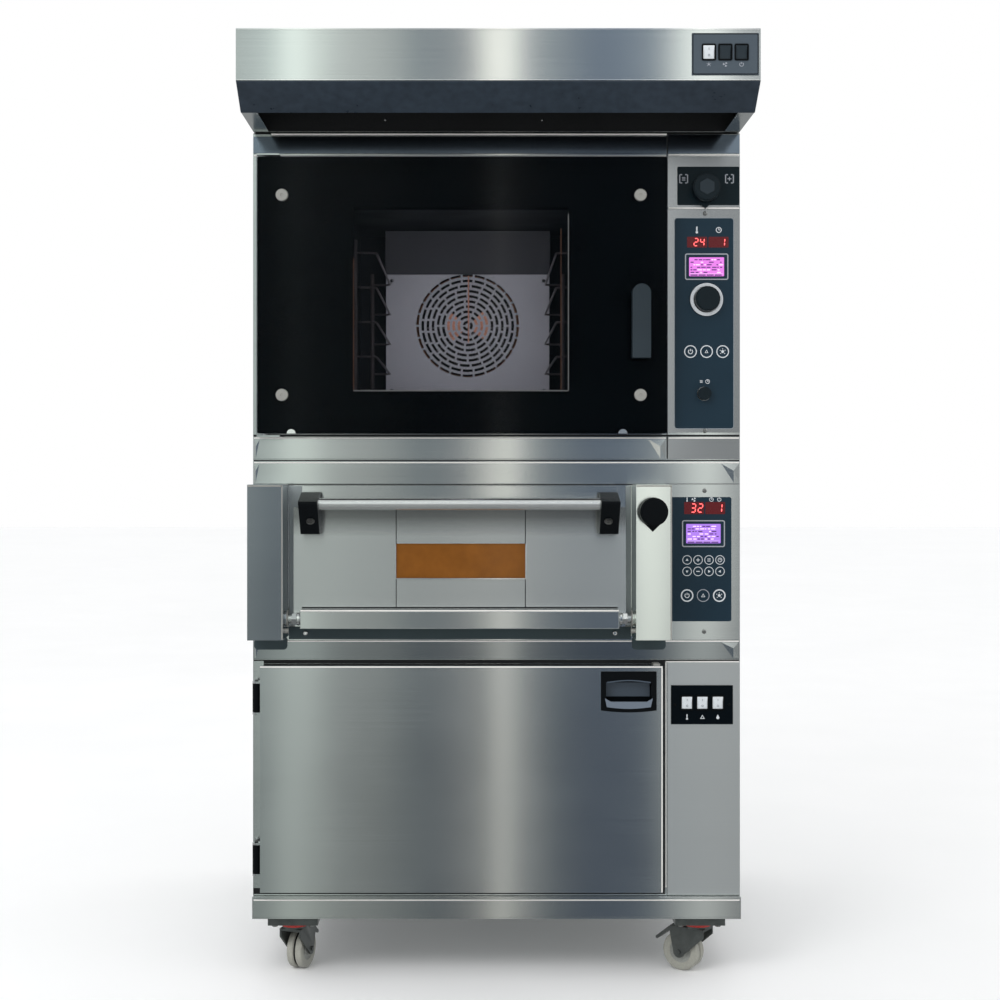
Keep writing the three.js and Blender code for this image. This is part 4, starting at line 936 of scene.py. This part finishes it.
def deck_door_details():
    """Seams beside the window, the window's bright edges, the rail's cover with its lip in painted highlight
    and a painted shadow line above it, bolts and nuts.
    """
    body = "deck_door"
    face, rail = -40, -69
    x0, x1, z0, z1 = -204, 58, 821, 891
    lines = Shape()
    for x in (x0, x1):
        for low, high in ((760, z0), (z1, 963)):
            lines.box(x - 0.9, x + 0.9, face - 0.25, face - 0.01, low, high)
    lines.make("deck_door_seams", DARK, body)
    edges = Shape()
    for left, right, low, high in ((x0 - 2.2, x1 + 2.2, z0 - 2.4, z0), (x1, x1 + 2.2, z0 + 0.1, z1),
                                   (x0 - 2.2, x0, z0 + 0.1, z1)):
        edges.box(left, right, face - 1.0, face - 0.01, low, high)
    edges.make("deck_window_edges", CHROME, body, bevel=0.3)
    cover = Shape().box(-394.5, 244.5, rail - 0.8, rail - 0.01, 722, 755)
    cover.make("deck_rail_cover", STEEL, body, bevel=0.4)
    # painted highlight: the bright line along the rail's top edge
    rim = Shape().box(-395, 245, rail - 1.0, rail - 0.01, 756, 758.6)
    rim.make("deck_rail_lip_highlight", EDGE_HIGHLIGHT, body, bevel=0.3)
    # painted shadow: a dark line above the rail, where the gap lies in shade
    shadow = Shape().box(-395, 245, face - 0.3, face - 0.01, 759.6, 762.6)
    shadow.make("deck_rail_gap_shadow", DARK, body)
    bolts = Shape()
    lean = Matrix.Rotation(math.radians(-40.5), 3, "X")
    for x in (-371, 221):
        def place(a, d, b, centre=Vector((x, -104.5, 938.5))):
            return tuple(centre + lean @ Vector((a, d, b)))

        bolts.plate(circle(0, 0, 6.4, 6), -5.5, 0.5, (), place)
        bolts.plate(circle(0, 0, 8.6, 28), -1.6, 0.4, [circle(0, 0, 6.6, 28)], place)
    bolts.make("deck_bracket_bolts", ZINC, body, bevel=0.5)
    nuts = Shape()
    for x, way in ((-395.5, -1), (245.5, 1)):
        nuts.lathe(ring_profile(9.4, 14, way * 4), (x + way * 3, *DECK_HINGE), "x", 24)
        nuts.lathe(ring_profile(9.4, 12.5, way * 9), (x + way * 9, *DECK_HINGE), "x", 6)
    nuts.make("deck_rail_nuts", CHROME, body, bevel=0.4)


def deck_front():
    """The sill under the door as painted shade, stop screws, pivot washers, a painted reflection on the
    knob's pointer and painted highlights on the pillar edges.
    """
    # painted shade: a dark sheet under the door, where the gap below the rail lies in shade
    sill = Shape().box(-426, 276, -3.2, -HAIR, 693.5, 719)
    sill.make("deck_sill_shade", JAMB, bevel=0.5)
    screws("deck_stop_screws", [(x, -3.2, 706) for x in (-392, 243)], 5.5, 4)
    washers = Shape()
    for x, way in ((-427, 1), (277, -1)):
        washers.lathe(ring_profile(10.2, 17, way * 2.5), (x + way * 3.1, *DECK_HINGE), "x", 28)
        washers.lathe([(0, 0), (5, 0), (5, way * 7), (0, way * 7)], (x, -60, 716), "x", 20)
    washers.make("deck_pivot_washers", STUD_STEEL, bevel=0.3)
    knob_low = box_mm("deck_vent_knob")[0]
    # painted reflection: a grey wedge on the knob's pointer stands for the skirt's reflection
    wedge = [(296, 934), (324, 934), (311.5, knob_low[2] + 3), (308.5, knob_low[2] + 3)]
    pointer = Shape().plate(wedge, -98.2, -97.6)
    pointer.make("deck_knob_pointer_reflection", LCD_RIM, "deck_vent_knob", bevel=0.2)
    # painted highlight: thin strips of a less metallic steel along each pillar's right and top edges stand
    # for the bright lines there
    for name, x0, x1 in (("left", -498.5, -427), ("right", 277, 348.5)):
        edge = Shape()
        edge.box(x1 - 3.0, x1 - 0.6, -95.6, -95, 701.5, 1009.5)
        edge.box(x0 + 1, x1 - 1, -95.6, -95, 1006.6, 1009.6)
        edge.make(f"deck_pillar_edge_highlight_{name}", STUD_STEEL, bevel=0.25)


def deck_panel():
    """The deck oven's control label with its displays, keys and signs."""
    face = -2.0
    front = face - 0.6
    label = Shape().plate(rounded(358, 482, 730, 985, 4), front, face)
    label.make("deck_label", LABEL, bevel=0.2)
    led_pair("deck_led", (385, 469, 950, 975), "32", "1", front)
    lcd("deck_lcd", (389, 460, 890, 930), LCD_VIOLET, front, 23)
    kinds = (("thermometer", 391), ("fan", 405), ("clock", 441), ("power", 457))
    draw("deck_signs", [(kind, x, 980, 9) for kind, x in kinds], front, WHITE_INK)
    rings, signs = Shape(), []
    kinds = ("up", "plus", "bars", "clock", "down", "minus", "right", "left")
    for i, kind in enumerate(kinds):
        x, z = 391 + 22.5 * (i % 4), 856 - 23.5 * (i // 4)
        key_ring(rings, x, z, 9.6, 1.3, front)
        signs.append((kind, x, z, 9))
    for x in (391, 457):
        key_ring(rings, x, 783, 13, 2.6, front)
    dim = Shape()
    key_ring(dim, 424, 783, 13, 1.6, front)
    dim.make("deck_dim_key", LCD_RIM)
    signs += [("power", 391, 783, 11), ("triangle", 424, 783, 10), ("lamp", 457, 783, 13)]
    rings.make("deck_key_rings", WHITE_INK)
    draw("deck_key_signs", signs, front, WHITE_INK)
    screws("deck_panel_screws", [(427, -2, 998), (426, -2, 709)], 4.6, 2.2, ZINC)


# ------------------------------------------------------------------ proving cabinet


def proofer_details():
    """Door edges in painted highlight, handle cup and lever, latch piece, switch signs, rims and marks, and
    screws.
    """
    low, high = box_mm("proofer_door")
    face = low[1]
    body = "proofer_door"
    edges = Shape()
    # painted highlight: bright lines along the door's top and right edges
    edges.box(low[0] + 18, high[0] - 1, face - 0.7, face - 0.01, high[2] - 3.4, high[2] - 0.8)
    edges.box(high[0] - 3.2, high[0] - 0.8, face - 0.7, face - 0.01, low[2] + 1, high[2] - 3.6)
    edges.make("proofer_door_edge_highlights", EDGE_HIGHLIGHT, body, bevel=0.3)
    cup_low, cup_high = box_mm("proofer_door_handle")
    cup = Shape().box(cup_low[0] + 12, cup_high[0] - 12, cup_high[1] - 9, cup_high[1] - 7.5,
                      cup_low[2] + 14, cup_high[2] - 24)
    cup.make("proofer_handle_cup", CUP, body)
    handle_paddle(cup_low, cup_high, body)
    latch = Shape().box(high[0] - 19, high[0] - 5, face + 6, -4, high[2] - 0.5, high[2] + 4)
    latch.make("proofer_door_latch", STUD_STEEL, body, bevel=1.0)
    plate_low, plate_high = box_mm("proofer_switch_plate")
    front = plate_low[1]
    signs = [(kind, middle(f"proofer_switch_{i + 1}")[0], plate_low[2] + 15, 11)
             for i, kind in enumerate(("thermometer", "triangle", "drop"))]
    draw("proofer_switch_signs", signs, front, WHITE_INK)
    for i in (1, 2, 3):
        rocker_rim(f"proofer_switch_{i}", front)
        rocker_mark(f"proofer_switch_{i}")
    rocker_mark("hood_switch_1")
    height = middle("proofer_switch_plate")[2]
    places = [(x, front, height) for x in (plate_low[0] + 8, plate_high[0] - 8)]
    screws("proofer_plate_screws", places, 3, 1.4, BLACK)


def handle_paddle(low, high, body):
    """The lever in the handle's cup: an arched edge above in painted highlight, and a curved lip below,
    lighter as painted light on its sloping face.
    """
    front = low[1]
    x0, x1 = low[0] + 8, high[0] - 8
    steps = [i / 12 for i in range(13)]
    arch = [(x0 + 4 + (x1 - x0 - 8) * t, low[2] + 62 + 4 * math.sin(math.pi * t)) for t in steps]
    under = [(x, z - 2.4) for x, z in reversed(arch)]
    # painted highlight: the arched line under the handle's top bar
    Shape().plate(arch + under, front - 0.8, front - HAIR).make("proofer_handle_arch_highlight", CUP, body, bevel=0.3)
    foot = [(x0 + 4 + (x1 - x0 - 8) * t, low[2] + 11 - 3.5 * math.sin(math.pi * t)) for t in steps]
    lip = foot + [(x1, low[2] + 29), (x1 - 12, low[2] + 22), (x0 + 12, low[2] + 22), (x0, low[2] + 29)]
    Shape().plate(lip, front - 1.6, front - HAIR).make("proofer_handle_lip_light", LIT_PADDLE, body, bevel=0.7)


def rocker_mark(node):
    """The two small marks on a lit rocker, which ride on it."""
    low, high = box_mm(node)
    x, z = (low[0] + high[0]) / 2, (low[2] + high[2]) / 2
    shape = Shape()
    shape.plate(circle(x, z - 6, 2.2, 16), low[1] - 0.25, low[1] + 0.6, [circle(x, z - 6, 1.3, 16)])
    shape.box(x - 0.5, x + 0.5, low[1] - 0.25, low[1] + 0.6, z + 4, z + 8)
    shape.make(node + "_marks", GREY_INK, node)


# ------------------------------------------------------------------ castors


# Each castor's tag, the x and d of its swivel, and the direction it trails in, in degrees.
CASTORS = (("fl", -418, 38, 72), ("fr", 418, 38, 146), ("rl", -418, 838, -100), ("rr", 418, 838, -72))
WHEEL_RADIUS = 40


def castor_wheels(tag, trail):
    """Twin wheels and a dark disc of painted shade in the groove between them, which roll with the CAD's
    wheel.
    """
    low, high = box_mm(f"castor_wheel_{tag}")
    cx, cd = (low[0] + high[0]) / 2, (low[1] + high[1]) / 2
    turn = math.radians(trail)
    across = (math.cos(turn + math.pi / 2), math.sin(turn + math.pi / 2))

    def wheel(shape, start, end, rim):
        def place(a, share, b):
            along = start + (end - start) * share
            return (cx + across[0] * along + math.cos(turn) * a,
                    cd + across[1] * along + math.sin(turn) * a, WHEEL_RADIUS + b)

        shape.turned(rim, place, 44)

    tyre = [(24, 0.06), (33, 0.02), (37, 0.0), (39.4, 0.12), (40, 0.3), (40, 0.7), (39.4, 0.88), (37, 1.0),
            (33, 0.98), (24, 0.94), (24, 0.06)]
    disc = [(7, 0.10), (12, 0.04), (14, 0.22), (21, 0.22), (24.2, 0.10), (24.2, 0.90), (21, 0.78),
            (14, 0.78), (12, 0.96), (7, 0.90), (7, 0.10)]
    body = f"castor_wheel_{tag}"
    tyres, hubs = Shape(), Shape()
    for start, end in ((-16.5, -2), (2, 16.5)):
        wheel(tyres, start, end, tyre)
        wheel(hubs, start, end, disc)
    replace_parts(tyres.make(f"castor_tyres_{tag}", TYRE, body), body)
    hubs.make(f"castor_hubs_{tag}", HUB, body)
    # painted shade: a dark disc in the groove between the twin wheels
    spacer = Shape()
    wheel(spacer, -1.9, 1.9, ring_profile(8, 36, 1.0))
    spacer.make(f"castor_groove_shade_{tag}", DARK, body)


def castor_fittings(tag, x, d):
    """The swivel's red band, a dark sheet of painted shade over the top plate, and the plate's bolts."""
    fork = f"castor_swivel_{tag}"
    band = Shape().lathe(ring_profile(26.4, 29.5, 7), (x, d, 97.8), "z", 36)
    band.make(f"castor_band_{tag}", RED, fork, bevel=0.6)
    # painted shade: a dark sheet over the top plate, which lies in shade under the base
    cover = Shape().flat_plate(rounded(x - 51.5, x + 51.5, d - 41.5, d + 41.5, 2), 105.9, 122.6,
                               [rounded(x - 50.1, x + 50.1, d - 40.1, d + 40.1, 1)])
    cover.make(f"castor_plate_shade_{tag}", FORK_STEEL, bevel=0.4)
    bolts = Shape()
    for aside, behind in ((-38, -30), (38, -30), (-38, 30), (38, 30)):
        bolts.lathe([(0, -4), (6, -4), (6, 0), (0, 0)], (x + aside, d + behind, 105.5), "z", 6)
    bolts.make(f"castor_bolts_{tag}", ZINC)


# ------------------------------------------------------------------ back and sides


def back_and_sides():
    """Louvres, screws, the blank rating plate and the two supply glands at the back; side screws."""
    louvres = Shape()
    for x0 in (-420, -140, 150):
        for z0, rows in ((1120, 8), (700, 5)):
            for i in range(rows):
                z = z0 + i * 16
                blade = [(REAR, z), (REAR + 0.8, z), (REAR + 5, z + 7), (REAR, z + 9)]
                louvres.side_plate(blade, x0, x0 + 200)
    louvres.make("rear_louvres", STEEL, bevel=0.3)
    places = [(x, REAR, z) for x in (-485, -250, 0, 250, 485)
              for z in (1075, 1390, 1715, 665, 860, 1045, 185, 400, 632)]
    screws("rear_screws", places, 4.2, 2.0, ZINC, way=-1, steps=16)
    rating = Shape().plate(rounded(300, 400, 940, 1000, 4), REAR, REAR + 0.8)
    rating.make("rear_blank_plate", TRIM_STEEL, bevel=0.2)
    glands = Shape()
    gland = [(0, 0), (17, 0), (17, 5), (13, 6), (13, 12), (10, 13), (0, 13)]
    for z in (1080, 676):
        glands.lathe(gland, (430, REAR, z), "d", 6)
    glands.make("supply_glands", BLACK, bevel=0.8)
    for side, way in (("left", -1), ("right", 1)):  # level with the side sheets
        places = [(500 * way, d, z) for d in (30, 870) for z in (1085, 1400, 1710, 672, 1036, 190, 628)]
        screws(f"side_screws_{side}", places, 4, 1.8, axis="x", way=way, steps=16)


# ------------------------------------------------------------------ stage

FRONT_HALF = 12  # the front bands reach this many degrees to each side
# What the steel mirrors in front of it: (azimuth in degrees, colour), level with the camera.
FRONT_BANDS = (
    (-12.0, (0.30, 0.33, 0.33)), (-8.7, (0.52, 0.57, 0.56)), (-7.9, (0.50, 0.57, 0.57)),
    (-7.2, (0.66, 0.74, 0.71)), (-6.9, (1.25, 1.36, 1.28)), (-6.5, (1.45, 1.58, 1.48)),
    (-5.9, (0.80, 0.86, 0.82)), (-5.2, (0.57, 0.61, 0.60)), (-3.6, (0.51, 0.54, 0.53)),
    (-2.6, (0.35, 0.39, 0.40)), (-1.8, (0.23, 0.27, 0.30)), (-0.6, (0.27, 0.30, 0.33)),
    (0.2, (0.42, 0.43, 0.44)), (0.6, (1.05, 1.04, 0.97)), (0.95, (2.55, 2.52, 2.30)),
    (1.3, (0.95, 0.96, 0.92)), (2.0, (0.42, 0.45, 0.47)), (2.9, (0.24, 0.285, 0.325)),
    (4.6, (0.15, 0.19, 0.26)), (6.4, (0.17, 0.22, 0.29)), (7.3, (0.50, 0.54, 0.55)),
    (8.1, (1.42, 1.48, 1.42)), (8.9, (1.30, 1.35, 1.31)), (9.6, (0.42, 0.44, 0.46)),
    (12.0, (0.38, 0.40, 0.42)),
)
# The same all round the studio.
ROUND_BANDS = (
    (-180, (0.50, 0.52, 0.53)), (-150, (1.05, 1.07, 1.08)), (-118, (0.46, 0.48, 0.50)),
    (-84, (1.15, 1.16, 1.16)), (-50, (0.48, 0.50, 0.52)), (-30, (0.65, 0.67, 0.68)),
    (-12, (0.30, 0.33, 0.34)), (12, (0.38, 0.40, 0.41)), (32, (0.80, 0.82, 0.82)),
    (54, (0.46, 0.48, 0.50)), (88, (1.10, 1.12, 1.12)), (122, (0.46, 0.48, 0.50)),
    (152, (0.95, 0.97, 0.98)), (180, (0.50, 0.52, 0.53)),
)
# How bright the surroundings are by elevation in degrees.
LEVELS = ((-90, 0.35), (-28, 0.55), (-19, 0.52), (-13, 0.47), (-4, 0.70), (4, 0.96), (14, 1.32), (35, 1.3),
          (90, 1.0))


def ramp(graph, source, stops, low, high):
    """Colours by a number between low and high; the ramp keeps a share of each colour's full range."""
    peak = max(max(per_axis(colour)) for _, colour in stops)
    made = graph.add("ValToRGB", {"Fac": graph.spread(source, 0.0, 1.0, low, high)})
    made.color_ramp.interpolation = "EASE"
    elements = made.color_ramp.elements
    while len(elements) < len(stops):
        elements.new(0.5)
    for i in range(len(stops)):
        elements[i].position = i / len(stops)
    for element, (at, colour) in zip(elements, stops):
        element.position = (at - low) / (high - low)
        element.color = tuple(c / peak for c in per_axis(colour)) + (1.0,)
    return graph.vector("MULTIPLY", made.outputs["Color"], (peak,) * 3)


def mirrored_studio(graph):
    """The colour that a mirror sees in each direction."""
    parts = graph.add("SeparateXYZ", {0: graph.add("TexCoord").outputs["Generated"]})
    ahead = graph.math("MULTIPLY", parts.outputs["Y"], -1.0)
    azimuth = graph.math("DEGREES", graph.math("ARCTAN2", parts.outputs["X"], ahead))
    elevation = graph.math("DEGREES", graph.math("ARCSINE", parts.outputs["Z"]))
    aside = graph.math("GREATER_THAN", graph.math("ABSOLUTE", azimuth), float(FRONT_HALF))
    both = graph.add("Mix", {0: aside, 4: ramp(graph, azimuth, FRONT_BANDS, -FRONT_HALF, FRONT_HALF),
                             5: ramp(graph, azimuth, ROUND_BANDS, -180, 180)}, data_type="VECTOR")
    return graph.vector("MULTIPLY", both.outputs[1], ramp(graph, elevation, LEVELS, -90, 90))


def studio_world():
    """White surroundings, which the object mirrors as soft boxes and dark gaps between them."""
    world = bpy.data.worlds.new("studio_world")
    graph = Graph(world)
    white = graph.add("Background", {"Color": (1, 1, 1, 1), "Strength": 1.0})
    mirrored = graph.add("Background", {"Color": mirrored_studio(graph)})
    glossy = graph.add("LightPath").outputs["Is Glossy Ray"]
    mix = graph.add("MixShader", {"Fac": glossy, 1: white.outputs[0], 2: mirrored.outputs[0]})
    graph.add("OutputWorld", {"Surface": mix.outputs[0]})
    bpy.context.scene.world = world


def area_light(name, place, target, size, strength):
    """A square soft light aimed at a point, which neither the camera nor the steel sees."""
    data = bpy.data.lights.new(name, "AREA")
    data.size = size
    data.energy = strength
    made = bpy.data.objects.new(name, data)
    made.location = place
    made.rotation_euler = (Vector(target) - Vector(place)).to_track_quat("-Z", "Y").to_euler()
    made.visible_camera = False
    made.visible_glossy = False
    bpy.context.scene.collection.objects.link(made)


def studio():
    """Pale floor, soft key light and the surroundings."""
    mesh = bpy.data.meshes.new("floor")
    mesh.from_pydata([(-30, -30, 0), (30, -30, 0), (30, 30, 0), (-30, 30, 0)], [], [(0, 1, 2, 3)])
    mesh.materials.append(surface(None, "floor_paint", (0.98, 0.985, 0.99), 0.8, grain=3, mottle=0.6,
                                  tone=0.01, bump=0.0))
    floor = bpy.data.objects.new("floor", mesh)
    bpy.context.scene.collection.objects.link(floor)
    floor.visible_glossy = False
    area_light("key", (-2.2, -3.6, 3.4), (0, 0, 0.9), 2.0, 55)
    front = FRONT * MM
    area_light("oven_light", (-0.062, front + 0.05, 1.45), (-0.062, front + 0.62, 1.36), 0.25, 2.2)
    studio_world()
    bpy.context.scene.view_settings.view_transform = "Standard"


def camera():
    """The photograph's point of view: level, 3.2 m in front, slightly left of the middle."""
    data = bpy.data.cameras.new("camera")
    data.lens = 56.1
    data.sensor_width = 36
    data.shift_x = 0.025
    data.shift_y = -0.020
    data.dof.use_dof = False
    made = bpy.data.objects.new("camera", data)
    made.location = (-0.0441, FRONT * MM - 3.2, 1.020)
    made.rotation_euler = (math.pi / 2, 0, 0)
    bpy.context.scene.collection.objects.link(made)
    bpy.context.scene.camera = made


finish_cad()
hood_details()
cover_strips()
jambs_and_seams()
convection_door_details()
convection_panels()
dial_ring()
fan_guard()
tray_wires("left", -1)
tray_wires("right", 1)
oven_inside()
deck_door_details()
deck_front()
deck_panel()
proofer_details()
for castor_tag, swivel_x, swivel_d, trail_angle in CASTORS:
    castor_wheels(castor_tag, trail_angle)
    castor_fittings(castor_tag, swivel_x, swivel_d)
back_and_sides()
studio()
camera()
